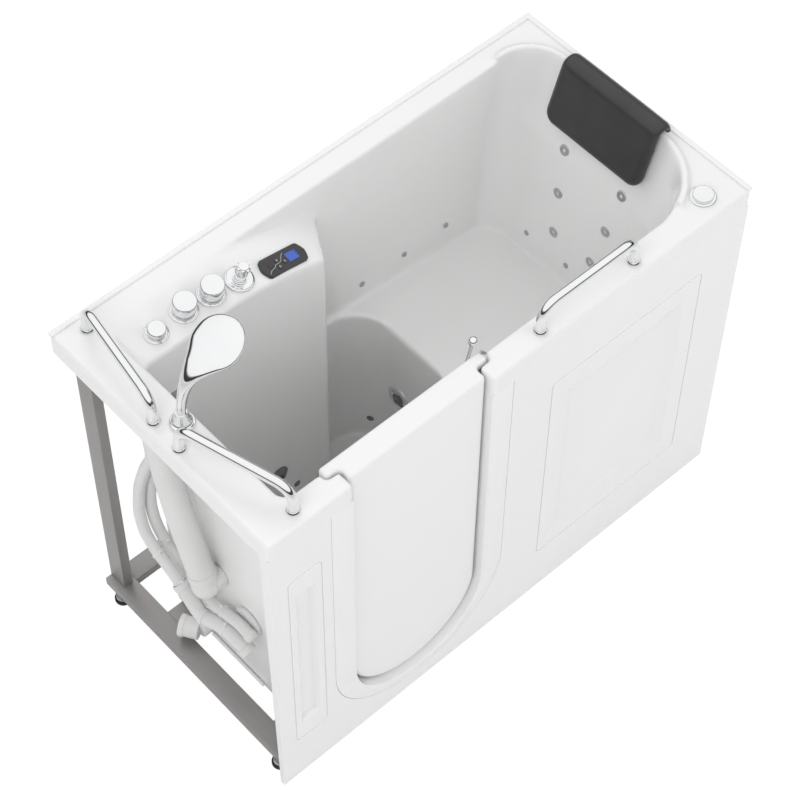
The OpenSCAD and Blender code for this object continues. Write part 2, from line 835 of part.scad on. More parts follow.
module latch_bore() {
    along_y(latch_x, latch_z, hook_y0 - cut, hook_y1 + latch_hub_height + cut,
        latch_pin_r + pin_clearance);
}

module latch_hook() color("silver") place() difference() {
    translate([latch_x, hook_y1, latch_z]) rotate([0, -latch_turn, 0]) rotate([90, 0, 0])
        linear_extrude(hook_thickness - latch_gap) difference() {
            union() {
                circle(r = hook_high);
                translate([0, -hook_low]) square([hook_reach + keeper_pin_r + slot_gap + hook_tip,
                    hook_low + hook_high]);
            }
            translate([hook_reach, 0]) circle(r = keeper_pin_r + slot_gap);
            translate([hook_reach - keeper_pin_r - slot_gap, -hook_low - cut])
                square([2 * (keeper_pin_r + slot_gap), hook_low + cut]);
        }
    latch_bore();
}

module latch_lever() color("silver") place() difference() {
    union() {
        along_y(latch_x, latch_z, hook_y1, hook_y1 + latch_hub_height, latch_hub_r);
        translate([latch_x, lever_y, latch_z]) rotate([0, lever_lean, 0]) {
            translate([0, 0, latch_hub_r / 2])
                cylinder(r1 = latch_hub_height / 2, r2 = lever_r, h = lever_length - latch_hub_r);
            translate([0, 0, lever_length]) sphere(r = lever_ball_r);
        }
    }
    latch_bore();
}

module latch_keeper() color("silver") place() {
    x = latch_x + hook_reach;
    block([x - keeper_plate, front_inner, latch_z - keeper_plate],
        [x + keeper_plate, front_inner + leaf_thickness, latch_z + keeper_plate]);
    along_y(x, latch_z, front_inner, hook_y1 + keeper_end, keeper_pin_r);
}

// Headrest: a saddle that hooks over the bead and hangs down the backrest
headrest_middle_share = 0.531;
headrest_gap = 1.5;
headrest_hook_drop = 26;
headrest_lip = 10;
headrest_rings = 26;
headrest_end_power = 5;
headrest_end_share = 0.16;

// The saddle's middle line in x and z, over the bead and down the backrest
function headrest_spine() = let (
    half = headrest_pad / 2,
    out_x = head_inner + bead_width + headrest_gap + headrest_lip,
    over_z = tub_height + bead_rise + headrest_gap,
    in_x = head_inner - headrest_gap - half,
    slope = tan(upper_recline)) [
        [out_x - headrest_lip / 4, over_z - headrest_hook_drop / 2],
        [out_x - headrest_lip / 4, over_z],
        [out_x - headrest_lip, over_z + headrest_lip],
        [in_x + half, over_z + half],
        [in_x + half / 2 - headrest_gap, over_z],
        [in_x - headrest_drop / 6 * slope, tub_height - headrest_drop / 6],
        [in_x - headrest_drop / 2 * slope, tub_height - headrest_drop / 2],
        [in_x - 3 * headrest_drop / 4 * slope, tub_height - 3 * headrest_drop / 4],
        [in_x - headrest_drop * slope, tub_height - headrest_drop]];

// Half thickness of the padding along the spine, in shares of the full padding
headrest_pad_shares = [0.12, 0.2, 0.3, 0.44, 0.5, 0.5, 0.5, 0.47, 0.3];

function headrest_fullness(t) = pow(max(0, 1 - pow(abs(t), headrest_end_power)), 1 / 2);

// One closed ring round the spine at a share t of the length from the middle
function headrest_ring(t) = let (
    spine = headrest_spine(),
    count = len(spine),
    swell = max(headrest_fullness(t), headrest_end_share),
    y = headrest_middle_share * tub_width + t * headrest_length / 2,
    normals = [for (i = [0 : count - 1]) let (
        d = spine[min(i + 1, count - 1)] - spine[max(i - 1, 0)]) [-d[1], d[0]] / norm(d)],
    back = [for (i = [count - 1 : -1 : 0]) spine[i] - normals[i] * headrest_pad * headrest_pad_shares[i]],
    crown = [for (i = [0 : count - 1])
        spine[i] + normals[i] * headrest_pad * headrest_pad_shares[i] * (2 * swell - 1)])
    [for (p = concat(crown, back)) [p[0], y, p[1]]];

// Skin over closed rings, with both ends closed
function ring_faces(rings, sides) = concat(
    [for (i = [0 : rings - 2]) for (j = [0 : sides - 1]) let (k = (j + 1) % sides)
        each [[i * sides + j, (i + 1) * sides + k, i * sides + k],
            [i * sides + j, (i + 1) * sides + j, (i + 1) * sides + k]]],
    [[for (j = [0 : sides - 1]) j], [for (j = [sides - 1 : -1 : 0]) (rings - 1) * sides + j]]);

module headrest() color("#333333") place() {
    shares = [for (i = [0 : headrest_rings]) let (s = 2 * i / headrest_rings - 1) sin(90 * s)];
    rings = [for (t = shares) headrest_ring(t)];
    polyhedron([for (ring = rings) each ring], ring_faces(len(rings), len(rings[0])), convexity = 6);
}

// Grab bars: two legs, two bends and a straight grip
module grab_bar(ends) {
    from = spot(ends[0]);
    step = spot(ends[1]) - from;
    span = norm(step);
    translate([from[0], from[1], tub_height]) rotate([0, 0, atan2(step[1], step[0])]) {
        for (x = [0, span]) translate([x, 0, 0]) cylinder(r = bar_r, h = bar_height - bar_bend_r);
        translate([bar_bend_r, 0, bar_height]) rotate([0, 90, 0])
            cylinder(r = bar_r, h = span - 2 * bar_bend_r);
        translate([span - bar_bend_r, 0, bar_height - bar_bend_r]) rotate([90, 0, 0])
            rotate_extrude(angle = 90) translate([bar_bend_r, 0]) circle(r = bar_r);
        translate([bar_bend_r, 0, bar_height - bar_bend_r]) rotate([90, 0, 0]) rotate([0, 0, 90])
            rotate_extrude(angle = 90) translate([bar_bend_r, 0]) circle(r = bar_r);
    }
}

module grab_bar_left_back() color("silver") place() grab_bar(left_back_bar_shares);
module grab_bar_left_front() color("silver") place() grab_bar(left_front_bar_shares);
module grab_bar_front() color("silver") place() grab_bar(front_bar_shares);

module grab_bar_flanges() color("silver") place() {
    for (ends = [left_back_bar_shares, left_front_bar_shares, front_bar_shares])
        for (end = ends)
            translate(concat(spot(end), [tub_height])) difference() {
                cylinder(r = bar_flange_r, h = bar_flange_height);
                translate([0, 0, -cut])
                    cylinder(r = bar_r + seat_clearance / 3, h = bar_flange_height + 2 * cut);
            }
}

// Hand shower: a holder on the deck and a handset that lifts out
holder_height = 36;
holder_skirt_height = 6;
holder_neck_r = 13;
holder_depth = 40;
handle_r = 9;
handle_depth = 24;
head_depth = 24;
head_side = 9;
face_r_share = 0.84;
face_depth = 3;
head_reach = 104;
head_lift = 156;

module shower_holder() color("silver") place()
    translate(concat(spot(holder_share), [tub_height])) difference() {
        union() {
            cylinder(r = holder_r, h = holder_skirt_height);
            cylinder(r1 = holder_neck_r + holder_skirt_height, r2 = holder_neck_r, h = holder_height);
            translate([0, 0, -holder_depth]) cylinder(r = socket_r, h = holder_depth + cut);
        }
        translate([0, 0, -handle_depth]) cylinder(r = handle_r + spindle_clearance, h = far);
        translate([0, 0, -holder_depth - cut]) cylinder(r = handle_r / 2, h = far);
    }

// Points from the holder's axis, by hand: x, height above the deck, radius
route_reach = 104;
handle_route = [[0, 26, 7], [0.5, 39, 8.8], [3, 60, 10], [9, 88, 11], [15, 112, 12], [25, 135, 14],
    [41, 150, 16], [60, 158, 16], [80, 158, 12]];
handle_sides = 16;
handle_scale = head_reach / route_reach;

function handle_ring(i) = let (
    last = len(handle_route) - 1,
    a = handle_route[max(i - 1, 0)],
    b = handle_route[min(i + 1, last)],
    d = [b[0] - a[0], b[1] - a[1]] / norm([b[0] - a[0], b[1] - a[1]]),
    p = handle_route[i])
    [for (j = [0 : handle_sides - 1]) let (t = 360 * j / handle_sides)
        [p[0] + p[2] * cos(t) * d[1], p[2] * sin(t), p[1] - p[2] * cos(t) * d[0]]];

module shower_head_frame() {
    translate(concat(spot(holder_share), [tub_height])) translate([head_reach, 0, head_lift])
        rotate([0, -head_tilt, 0]) children();
}

module hand_shower_body() color("silver") place() {
    translate(concat(spot(holder_share), [tub_height])) {
        translate([0, 0, -handle_depth]) cylinder(r = handle_r, h = handle_depth + holder_height);
        scale(handle_scale)
            polyhedron([for (i = [0 : len(handle_route) - 1]) each handle_ring(i)],
                ring_faces(len(handle_route), handle_sides), convexity = 4);
    }
    chord = head_r - head_side / 2;
    dome = head_depth - head_side;
    dome_r = (chord * chord + dome * dome) / (2 * dome);
    shower_head_frame() rotate_extrude() polygon(concat(
        [[0, 0]],
        arc([chord, head_side / 2], head_side / 2, -90, 90, 6),
        arc([0, head_depth - dome_r], dome_r, acos(chord / dome_r) + 1, 90, 6)));
}

module hand_shower_face() color("gray") place()
    shower_head_frame() translate([0, 0, -face_depth])
        cylinder(r1 = face_r_share * head_r - face_depth, r2 = face_r_share * head_r, h = face_depth);

// Knobs on the ledge, each with a spindle down through its cover ring
knob_gap = 0.4;
spindle_depth = 34;
knob_edge_r = 3;
thermo_neck_share = 0.8;
thermo_lobes = 8;

module knob(share, radius, height) color("silver") place()
    on_ledge(share, cover_height + knob_gap) {
        rotate_extrude() polygon(concat([[0, height], [0, 0], [radius, 0]],
            arc([radius - knob_edge_r, height - knob_edge_r], knob_edge_r, 0, 90, 4)));
        translate([0, 0, -cover_height - knob_gap - spindle_depth])
            cylinder(r = spindle_r, h = spindle_depth + cover_height + 2 * knob_gap);
    }

module air_knob() knob(air_knob_share, air_knob_r, air_knob_height);
module flow_knob() knob(flow_knob_share, knob_r, knob_height);
module diverter_knob() knob(diverter_share, knob_r, knob_height);

module thermostat_knob() color("silver") place()
    on_ledge(thermo_share, cover_height + knob_gap) {
        cylinder(r = thermo_neck_share * thermo_r, h = thermo_height);
        translate([0, 0, thermo_height / 2]) cylinder(r = thermo_r, h = thermo_height / 2 - knob_gap);
        for (i = [0 : thermo_lobes - 1]) rotate([0, 0, 360 * i / thermo_lobes])
            translate([thermo_r - knob_edge_r / 2, 0, thermo_height / 2])
                cylinder(r = knob_edge_r, h = thermo_height / 2 - 2 * knob_gap);
        translate([0, 0, -cover_height - knob_gap - spindle_depth])
            cylinder(r = spindle_r, h = spindle_depth + cover_height + 2 * knob_gap);
    }

module knob_cover(radius) difference() {
    rotate_extrude() polygon([[0, 0], [radius, 0], [radius, cover_height / 3],
        [radius - cover_height / 2, cover_height], [0, cover_height]]);
    translate([0, 0, -cut]) cylinder(r = spindle_r + spindle_clearance, h = cover_height + 2 * cut);
}

module knob_covers() color("silver") place() {
    on_ledge(air_knob_share) knob_cover(air_knob_r + cover_height);
    on_ledge(flow_knob_share) knob_cover(cover_r);
    on_ledge(diverter_share) knob_cover(cover_r);
    on_ledge(thermo_share) knob_cover(cover_r);
}

// Valve bodies under the ledge, with the two supply tails below the thermostat
valve_body_r = 18;
valve_body_depth = 62;
supply_r = 9;
supply_length = 40;
supply_spread = 20;

// Flat tops clear of the curved ledge
valve_drop = valve_body_r * valve_body_r / ledge_radius / 2 + spindle_clearance / 3;

module valve_body() color("peru") place() {
    for (share = [air_knob_share, flow_knob_share, diverter_share, thermo_share])
        on_ledge(share) difference() {
            union() {
                translate([0, 0, -shell_wall - valve_body_depth])
                    cylinder(r = valve_body_r, h = valve_body_depth - valve_drop);
                translate([0, 0, -shell_wall - cut]) cylinder(r = sleeve_r, h = shell_wall + cut);
            }
            translate([0, 0, -spindle_depth - cut])
                cylinder(r = spindle_r + spindle_clearance, h = 2 * spindle_depth);
        }
    on_ledge(thermo_share, -shell_wall - valve_body_depth) {
        translate([-supply_spread - supply_r, -supply_r, -supply_r])
            cube([2 * (supply_spread + supply_r), 2 * supply_r, supply_r]);
        for (x = [-supply_spread, supply_spread])
            translate([x, 0, -supply_r - supply_length]) cylinder(r = supply_r, h = supply_length);
    }
}

// Keypad: a case on the curved ledge, a screen and four keys
keypad_corner_r = 6;
keypad_sink = 10;
screen_size = [28, 21];
screen_place_share = 0.2;
screen_rise = 0.6;
screen_depth = 1.5;
key_r = 5;
key_rise = 1.4;
key_depth = 2.6;
key_places = [[-0.3, 0.02], [-0.13, 0.12], [-0.155, -0.22], [0.0, -0.08]];

function keypad_outline(length, width, r) = let (bow = width / 8) concat(
    arc([length / 2 - r - bow, -width / 2 + r], r, -90, -30, 3), [[length / 2, 0]],
    arc([length / 2 - r - bow, width / 2 - r], r, 30, 90, 3),
    arc([-length / 2 + r + bow, width / 2 - r], r, 90, 150, 3), [[-length / 2, 0]],
    arc([-length / 2 + r + bow, -width / 2 + r], r, 210, 270, 3));

module on_key(i) {
    on_ledge(keypad_share, keypad_rise)
        translate([key_places[i][0] * keypad_length, key_places[i][1] * keypad_width, 0]) children();
}

module keypad_case() color("#3a3a3a") place() difference() {
    on_ledge(keypad_share) translate([0, 0, -keypad_sink]) linear_extrude(keypad_rise + keypad_sink)
        polygon(keypad_outline(keypad_length, keypad_width, keypad_corner_r));
    translate([0, back_inner, tub_height]) rotate([ledge_fall, 0, 0])
        prism_y(-tub_width, 0, concat(
            [[0, -tub_height], [0, 0], [foot_inner + ledge_flat, 0]],
            arc([foot_inner + ledge_flat, -ledge_radius], ledge_radius, 90, 55, 2 * corner_steps),
            [[tub_length, -tub_height]]));
    on_ledge(keypad_share, keypad_rise - screen_depth)
        translate([screen_place_share * keypad_length - screen_size[0] / 2, -screen_size[1] / 2, 0])
            cube([screen_size[0], screen_size[1], keypad_rise]);
    for (i = [0 : len(key_places) - 1])
        on_key(i) translate([0, 0, -key_depth - key_travel - seat_clearance])
            cylinder(r = key_r + seat_clearance, h = far);
}

module keypad_screen() color("royalblue") place()
    on_ledge(keypad_share, keypad_rise - screen_depth)
        translate([screen_place_share * keypad_length - screen_size[0] / 2, -screen_size[1] / 2, 0])
            cube([screen_size[0], screen_size[1], screen_depth + screen_rise]);

module key(i) color("lightgray") place()
    on_key(i) translate([0, 0, -key_depth]) cylinder(r = key_r, h = key_depth + key_rise);

module key_one() key(0);
module key_two() key(1);
module key_three() key(2);
module key_four() key(3);

// Drain: the deck dial works the stopper in the floor
dial_base_height = 4;
dial_cap_share = 0.8;
dial_cap_height = 7;
dial_dish = 3;
dial_depth = 30;
drain_flange_reach = 10;
drain_flange_height = 2;
drain_tail = 46;
drain_neck = 8;
stopper_gap = 0.5;
stopper_height = 4;
stopper_stem = 34;
spider_height = 5;
spider_drop = 24;

module drain_dial_base() color("silver") place()
    translate(concat(spot(dial_share), [tub_height])) difference() {
        union() {
            rotate_extrude() polygon([[0, 0], [dial_r, 0], [dial_r, dial_base_height / 2],
                [dial_r - dial_base_height / 2, dial_base_height], [0, dial_base_height]]);
            translate([0, 0, -dial_depth]) cylinder(r = sleeve_r, h = dial_depth + cut);
            translate([0, 0, -dial_depth - sleeve_r]) cylinder(r = valve_body_r, h = dial_depth + sleeve_r
                - shell_wall);
        }
        translate([0, 0, -dial_depth]) cylinder(r = spindle_r + spindle_clearance, h = far);
    }

module drain_dial() color("silver") place()
    translate(concat(spot(dial_share), [tub_height + dial_base_height + knob_gap])) {
        rotate_extrude() polygon(concat(
            [[0, dial_cap_height - dial_dish], [0, 0], [dial_cap_share * dial_r, 0]],
            [[dial_cap_share * dial_r, dial_cap_height - knob_edge_r / 2],
                [dial_cap_share * dial_r - knob_edge_r / 2, dial_cap_height],
                [dial_cap_share * dial_r - knob_edge_r, dial_cap_height]]));
        translate([0, 0, -dial_base_height - knob_gap - dial_depth + cut])
            cylinder(r = spindle_r, h = dial_depth + dial_base_height + knob_gap);
    }

module drain_flange() color("silver") place()
    translate(concat(spot(drain_share), [floor_height])) difference() {
        union() {
            cylinder(r = drain_pipe_r + drain_flange_reach, h = drain_flange_height);
            translate([0, 0, -drain_tail]) cylinder(r = drain_pipe_r, h = drain_tail - drain_neck);
            translate([0, 0, -drain_neck - cut])
                cylinder(r = drain_pipe_r - cut / 2, h = drain_neck + 2 * cut);
        }
        difference() {
            translate([0, 0, -drain_tail - cut]) cylinder(r = drain_r, h = far);
            difference() {
                translate([-drain_r - cut, -drain_stem_r * 2, -spider_drop])
                    cube([2 * (drain_r + cut), drain_stem_r * 4, spider_height]);
                translate([0, 0, -drain_tail]) cylinder(r = drain_stem_r + pin_clearance, h = drain_tail);
            }
        }
    }

module drain_stopper() color("silver") place()
    translate(concat(spot(drain_share), [floor_height + drain_flange_height])) {
        translate([0, 0, -stopper_height]) cylinder(r = drain_r - stopper_gap, h = stopper_height);
        translate([0, 0, -stopper_stem]) cylinder(r = drain_stem_r, h = stopper_stem);
    }

// Small filler spout on the foot wall
spout_size = [17, 26, 20];
spout_drop = 8;

module filler_spout() color("dimgray") place() {
    z = tub_height - spout_drop;
    y = spout_share * tub_width;
    intersection() {
        block([foot_inner, y - spout_size[1] / 2, z - spout_size[2]],
            [foot_inner + spout_size[0], y + spout_size[1] / 2, z]);
        prism_y(0, tub_width, [
            [foot_inner + (tub_height - z) * foot_slope, z],
            [foot_inner + (tub_height - z + spout_size[2]) * foot_slope, z - spout_size[2]],
            [tub_length, z - spout_size[2]], [tub_length, z]]);
    }
}

// Jets: a ring on the wall, a nozzle in it and a threaded body behind it
ring_share = 0.55;
ring_height = 2.5;
jet_body_depth = 28;
jet_mouth_depth = 8;

module jet(radius, depth) {
    body = jet_body_share * radius;
    difference() {
        union() {
            rotate_extrude() polygon([[0, 0], [radius, 0], [radius, ring_height / 3],
                [radius - ring_height, ring_height], [0, ring_height]]);
            translate([0, 0, -depth]) cylinder(r = body, h = depth + cut);
        }
        translate([0, 0, -jet_mouth_depth]) cylinder(r = body * ring_share, h = far);
    }
}

module back_jets() color("silver") place() each_back_jet() jet(back_jet_r, jet_body_depth);

module air_jets() color("silver") place()
    each_air_jet() translate([0, 0, seat_clearance]) jet(air_jet_r, jet_body_depth / 2);

module well_jets() color("silver") place() {
    on_valve_wall(well_jet_share) jet(well_jet_r, jet_body_depth);
    on_recess_corner(recess_jet_turn, recess_jet_share * tub_height)
        translate([0, 0, seat_clearance + (well_jet_r * well_jet_r) / (2 * recess_r)])
            jet(well_jet_r, jet_body_depth);
}

// Foot jet: a ring with a ball seat and a nozzle that swivels in it
foot_ball_share = 0.5;
foot_ring_height = 5;

module foot_jet_ring() color("silver") place() on_recess(foot_jet_share) difference() {
    union() {
        rotate_extrude() polygon([[0, 0], [foot_jet_r, 0], [foot_jet_r, foot_ring_height / 3],
            [foot_jet_r - foot_ring_height, foot_ring_height], [0, foot_ring_height]]);
        translate([0, 0, -2 * jet_body_depth])
            cylinder(r = jet_body_share * foot_jet_r, h = 2 * jet_body_depth + cut);
    }
    sphere(r = foot_ball_share * foot_jet_r + seat_clearance);
    cylinder(r = foot_ball_share * foot_jet_r + seat_clearance, h = far);
}

module foot_jet_nozzle() color("dimgray") place() on_recess(foot_jet_share) difference() {
    union() {
        intersection() {
            sphere(r = foot_ball_share * foot_jet_r);
            translate([-far / 2, -far / 2, -far / 2]) cube([far, far, far / 2 + foot_ring_height / 2]);
        }
        cylinder(r = foot_ball_share * foot_ball_share * foot_jet_r, h = 2 * foot_ring_height);
    }
    cylinder(r = foot_ball_share * foot_ball_share * foot_jet_r / 2, h = far);
}

suction_slots = 4;

module suction_cover() color("dimgray") place() on_valve_wall(suction_share) difference() {
    union() {
        rotate_extrude() polygon([[0, 0], [suction_r, 0], [suction_r, foot_ring_height / 2],
            [suction_r / 2, 2 * foot_ring_height], [0, 2 * foot_ring_height]]);
        translate([0, 0, -jet_body_depth])
            cylinder(r = jet_body_share * suction_r, h = jet_body_depth + cut);
    }
    translate([0, 0, -jet_body_depth - cut]) cylinder(r = suction_r / 2 - cut, h = jet_body_depth
        + foot_ring_height);
    for (i = [0 : suction_slots - 1]) rotate([0, 0, 180 * i / suction_slots])
        translate([-suction_r / 2 + cut, -ring_height / 2, 0])
            cube([suction_r - 2 * cut, ring_height, 3 * foot_ring_height]);
}

// Steel frame of flat tubes on levelling feet
rail_inset_x = 15;
rail_inset_y = 33;
back_rail_inset = 24;
front_rail_y = 60;
middle_rail_y = 425;
post_depth = 24;
post_x = 31;
rail_low = frame_clearance;
rail_high = frame_clearance + tube_height;

// A square-cut tube between two corners, hollow along the axis given
module tube(low, high, along) {
    inset = [for (i = [0 : 2]) i == along ? -cut : tube_wall];
    difference() {
        block(low, high);
        block(low + inset, high - inset);
    }
}

module rail_left() color("gray") place()
    tube([rail_inset_x, rail_inset_y, rail_low],
        [rail_inset_x + tube_width, tub_width - back_rail_inset, rail_high], 1);

module rail_back() color("gray") place()
    tube([rail_inset_x + tube_width, tub_width - back_rail_inset - tube_width, rail_low],
        [tub_length - rail_inset_x - tube_width, tub_width - back_rail_inset, rail_high], 0);

module inner_rails() color("gray") place() {
    tube([tub_length - rail_inset_x - tube_width, rail_inset_y, rail_low],
        [tub_length - rail_inset_x, tub_width - back_rail_inset, rail_high], 1);
    for (y = [front_rail_y, middle_rail_y])
        tube([rail_inset_x + tube_width, y, rail_low],
            [tub_length - rail_inset_x - tube_width, y + tube_width, rail_high], 0);
}

module post_back_left() color("gray") place()
    tube([post_x, tub_width - back_rail_inset - tube_width, rail_high],
        [post_x + post_depth, tub_width - back_rail_inset, tub_height - shell_wall], 2);

// Posts at the head end and under the seat
seat_post_share = 0.62;

module hidden_posts() color("gray") place() {
    for (y = [rail_inset_y / 3, tub_width - back_rail_inset - tube_width])
        tube([tub_length - rail_inset_x - post_depth, y + (y < tub_width / 2 ? rail_inset_y * 2 / 3 : 0),
            rail_high], [tub_length - rail_inset_x,
            y + tube_width + (y < tub_width / 2 ? rail_inset_y * 2 / 3 : 0), tub_height - shell_wall], 2);
    x = seat_post_share * tub_length;
    for (y = [front_rail_y, middle_rail_y])
        intersection() {
            tube([x, y, rail_high], [x + post_depth, y + tube_width, seat_height], 2);
            prism_y(0, tub_width, [[0, 0], [tub_length, 0],
                [tub_length, seat_height - shell_wall - (tub_length - seat_front_x) * tan(seat_fall)],
                [0, seat_height - shell_wall + seat_front_x * tan(seat_fall)]]);
        }
}

// Levelling feet: a stem up into the rail and a pad on the floor
foot_pad_height = 14;
pad_rubber = 4;
nut_r = 11;
nut_height = 6;
foot_shares = [[0.0232, 0.0727], [0.0239, 0.9076], [0.5, 0.9076], [0.9695, 0.0742], [0.9695, 0.9076],
    [0.5, 0.128]];

module each_foot() {
    for (share = foot_shares) translate(concat(spot(share), [0])) children();
}

module foot_stems() color("silver") place() each_foot() {
    translate([0, 0, pad_rubber]) cylinder(r = foot_r - pad_rubber, h = foot_pad_height - pad_rubber);
    translate([0, 0, pad_rubber]) cylinder(r = stem_r, h = rail_low - pad_rubber);
    translate([0, 0, rail_low - nut_height]) cylinder(r = nut_r, h = nut_height, $fn = 6);
}

module foot_pads() color("#222222") place() each_foot()
    rotate_extrude() polygon([[0, 0], [foot_r, 0], [foot_r, pad_rubber * 2],
        [foot_r - pad_rubber + seat_clearance, pad_rubber * 2],
        [foot_r - pad_rubber + seat_clearance, pad_rubber], [0, pad_rubber]]);

// A tube swept along points, with rings square to the way
function unit(v) = v / norm(v);
function curve_point(p, i, t) = let (
    n = len(p) - 1,
    a = p[max(i - 1, 0)], b = p[i], c = p[min(i + 1, n)], d = p[min(i + 2, n)])
    ((2 * b) + (c - a) * t + (2 * a - 5 * b + 4 * c - d) * t * t + (3 * b - a - 3 * c + d) * t * t * t) / 2;
function curve(points, steps) = concat(
    [for (i = [0 : len(points) - 2]) for (k = [0 : steps - 1]) curve_point(points, i, k / steps)],
    [points[len(points) - 1]]);
function sweep_ring(way, i, radius, sides) = let (
    last = len(way) - 1,
    t = unit(way[min(i + 1, last)] - way[max(i - 1, 0)]),
    across = unit([1, 0, 0] - t * t[0]),
    up = cross(t, across))
    [for (j = [0 : sides - 1]) let (a = 360 * j / sides) way[i] + radius * (cos(a) * across + sin(a) * up)];

module swept(points, steps, radius, sides) {
    way = curve(points, steps);
    polyhedron([for (i = [0 : len(way) - 1]) each sweep_ring(way, i, radius, sides)],
        ring_faces(len(way), sides), convexity = 6);
}

// Routes at the foot end, chosen by hand for this deck height
route_height = 970;
waste_route = [[50, 400, 963.2], [50, 400, 930], [50, 396, 850], [50, 383, 757], [50, 370, 696],
    [50, 354, 629], [52, 337, 562], [55, 319, 486], [57, 298, 412]];
outer_route = [[60, 450, 963.2], [60, 450, 930], [56, 446, 850], [50, 428, 757], [49, 447, 700],
    [49, 462, 660], [49.5, 487, 580], [50, 500, 510], [48.5, 503, 455], [46, 487, 400], [44, 448, 371],
    [43, 410, 356], [43.4, 391, 344], [44.6, 373, 328.6]];
inner_route = [[70, 480, 963.2], [70, 480, 930], [72, 470, 850], [74, 455, 757], [75.5, 446, 700],
    [76.5, 452, 660], [77, 481, 585], [77.3, 497, 512], [77, 499, 450], [76.5, 487, 400],
    [76.5, 460, 362], [77, 428, 338], [77.5, 393, 311], [77.5, 356, 293], [77, 330, 297], [75, 305, 303],
    [72, 256, 324], [71, 212, 340], [72, 166, 333]];
manifold_route = [[44.6, 372.8, 328.4], [45.8, 355, 313], [46.8, 334, 289], [49, 307, 273],
    [56, 261, 290], [61, 224, 288], [66, 178, 269]];
pipe_scale = tub_height / route_height;
elbow_swell = 1.5;

// The foot wall's outer face at z
function foot_outer(z) = foot_inner - shell_wall + (tub_height - z) * foot_slope;

module waste_pipe() color("whitesmoke") place() {
    scale(pipe_scale) swept(waste_route, 3, waste_pipe_r / pipe_scale, 12);
    end = pipe_scale * waste_route[len(waste_route) - 1];
    translate(end) {
        sphere(r = waste_pipe_r + elbow_swell);
        rotate([0, 90, 0]) cylinder(r = waste_pipe_r - elbow_swell,
            h = foot_outer(end[2] + waste_pipe_r) - seat_clearance - end[0]);
    }
}

module hose_outer() color("whitesmoke") place()
    scale(pipe_scale) swept(outer_route, 3, hose_r / pipe_scale, 12);

module hose_inner() color("whitesmoke") place()
    scale(pipe_scale) swept(inner_route, 3, hose_r / pipe_scale, 12);

module air_manifold() color("whitesmoke") place()
    scale(pipe_scale) swept(manifold_route, 3, manifold_r / pipe_scale, 12);

// Foot wall fittings: a flange, a thin rod and an outlet with its collar
end_flange_r = 38;
end_flange_height = 8;
end_flange_share = [0.3136, 0.342];
rod_r = 3.5;
rod_height = 92;
rod_from = 176;
rod_length = 174;
outlet_share = [0.0595, 0.566, 0.101];
outlet_r = 24;
outlet_neck_r = 20;
outlet_length = 45;
outlet_turn = 32;
collar_swell = 2;
collar_length = 12;

module pipe_fittings() color("whitesmoke") place() {
    z = end_flange_share[1] * tub_height;
    translate([foot_outer(z), end_flange_share[0] * tub_width, z]) rotate([0, -90 - atan(foot_slope), 0])
        cylinder(r = end_flange_r, h = end_flange_height);
    translate([foot_outer(rod_height) - rod_r - seat_clearance, rod_from, rod_height]) rotate([-90, 0, 0])
        cylinder(r = rod_r, h = rod_length);
    elbow = [outlet_share[0] * tub_length, outlet_share[1] * tub_width, outlet_share[2] * tub_height];
    translate(elbow) {
        rotate([0, 90, 0]) cylinder(r = outlet_neck_r,
            h = foot_outer(elbow[2] + outlet_neck_r) - seat_clearance - elbow[0]);
        rotate([-90, 0, outlet_turn]) {
            cylinder(r = outlet_r, h = outlet_length);
            translate([0, 0, outlet_length - collar_length])
                cylinder(r = outlet_r + collar_swell, h = collar_length);
        }
    }
}

// Circulation pump under the seat: its wet end and its motor
pump_r = 62;
pump_length = 60;
motor_r = 52;
motor_length = 170;
pump_share = [0.72, 0.5];
pump_base = [200, 150, 10];

module pump() color("#3a3a3a") place() {
    x = pump_share[0] * tub_length;
    y = pump_share[1] * tub_width;
    z = rail_high + pump_base[2] + pump_r - cut;
    block([x - pump_base[0] / 2, middle_rail_y - pump_base[1], rail_high],
        [x + pump_base[0] / 2, middle_rail_y + tube_width, rail_high + pump_base[2]]);
    translate([x - pump_base[0] / 2, y, z]) rotate([0, 90, 0]) cylinder(r = pump_r, h = pump_length);
    translate([x - pump_base[0] / 2 + pump_length, y, z]) rotate([0, 90, 0])
        cylinder(r = motor_r, h = motor_length);
    block([x - pump_base[0] / 4, y - motor_r, rail_high + pump_base[2] - cut],
        [x + pump_base[0] / 4, y + motor_r, z - motor_r / 2]);
}

tub_shell();
front_skirt();
door_frame();
door_outer();
door_inner();
door_seal();
hinge_upper_fixed_leaf();
hinge_upper_door_leaf();
hinge_upper_pin();
hinge_lower_fixed_leaf();
hinge_lower_door_leaf();
hinge_lower_pin();
latch_lever();
latch_hook();
latch_pivot();
latch_keeper();
headrest();
grab_bar_left_back();
grab_bar_left_front();
grab_bar_front();
grab_bar_flanges();
shower_holder();
hand_shower_body();
hand_shower_face();
air_knob();
flow_knob();
diverter_knob();
thermostat_knob();
knob_covers();
valve_body();
keypad_case();
keypad_screen();
key_one();
key_two();
key_three();
key_four();
drain_dial();
drain_dial_base();
drain_flange();
drain_stopper();
filler_spout();
back_jets();
air_jets();
well_jets();
foot_jet_ring();
foot_jet_nozzle();
suction_cover();
rail_left();
rail_back();
inner_rails();
post_back_left();
hidden_posts();
foot_stems();
foot_pads();
waste_pipe();
hose_outer();
hose_inner();
air_manifold();
pipe_fittings();
pump();
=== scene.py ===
from math import asin, copysign, cos, hypot, pi, radians, sin, sqrt, tan

import bmesh
import bpy
from mathutils import Matrix, Vector


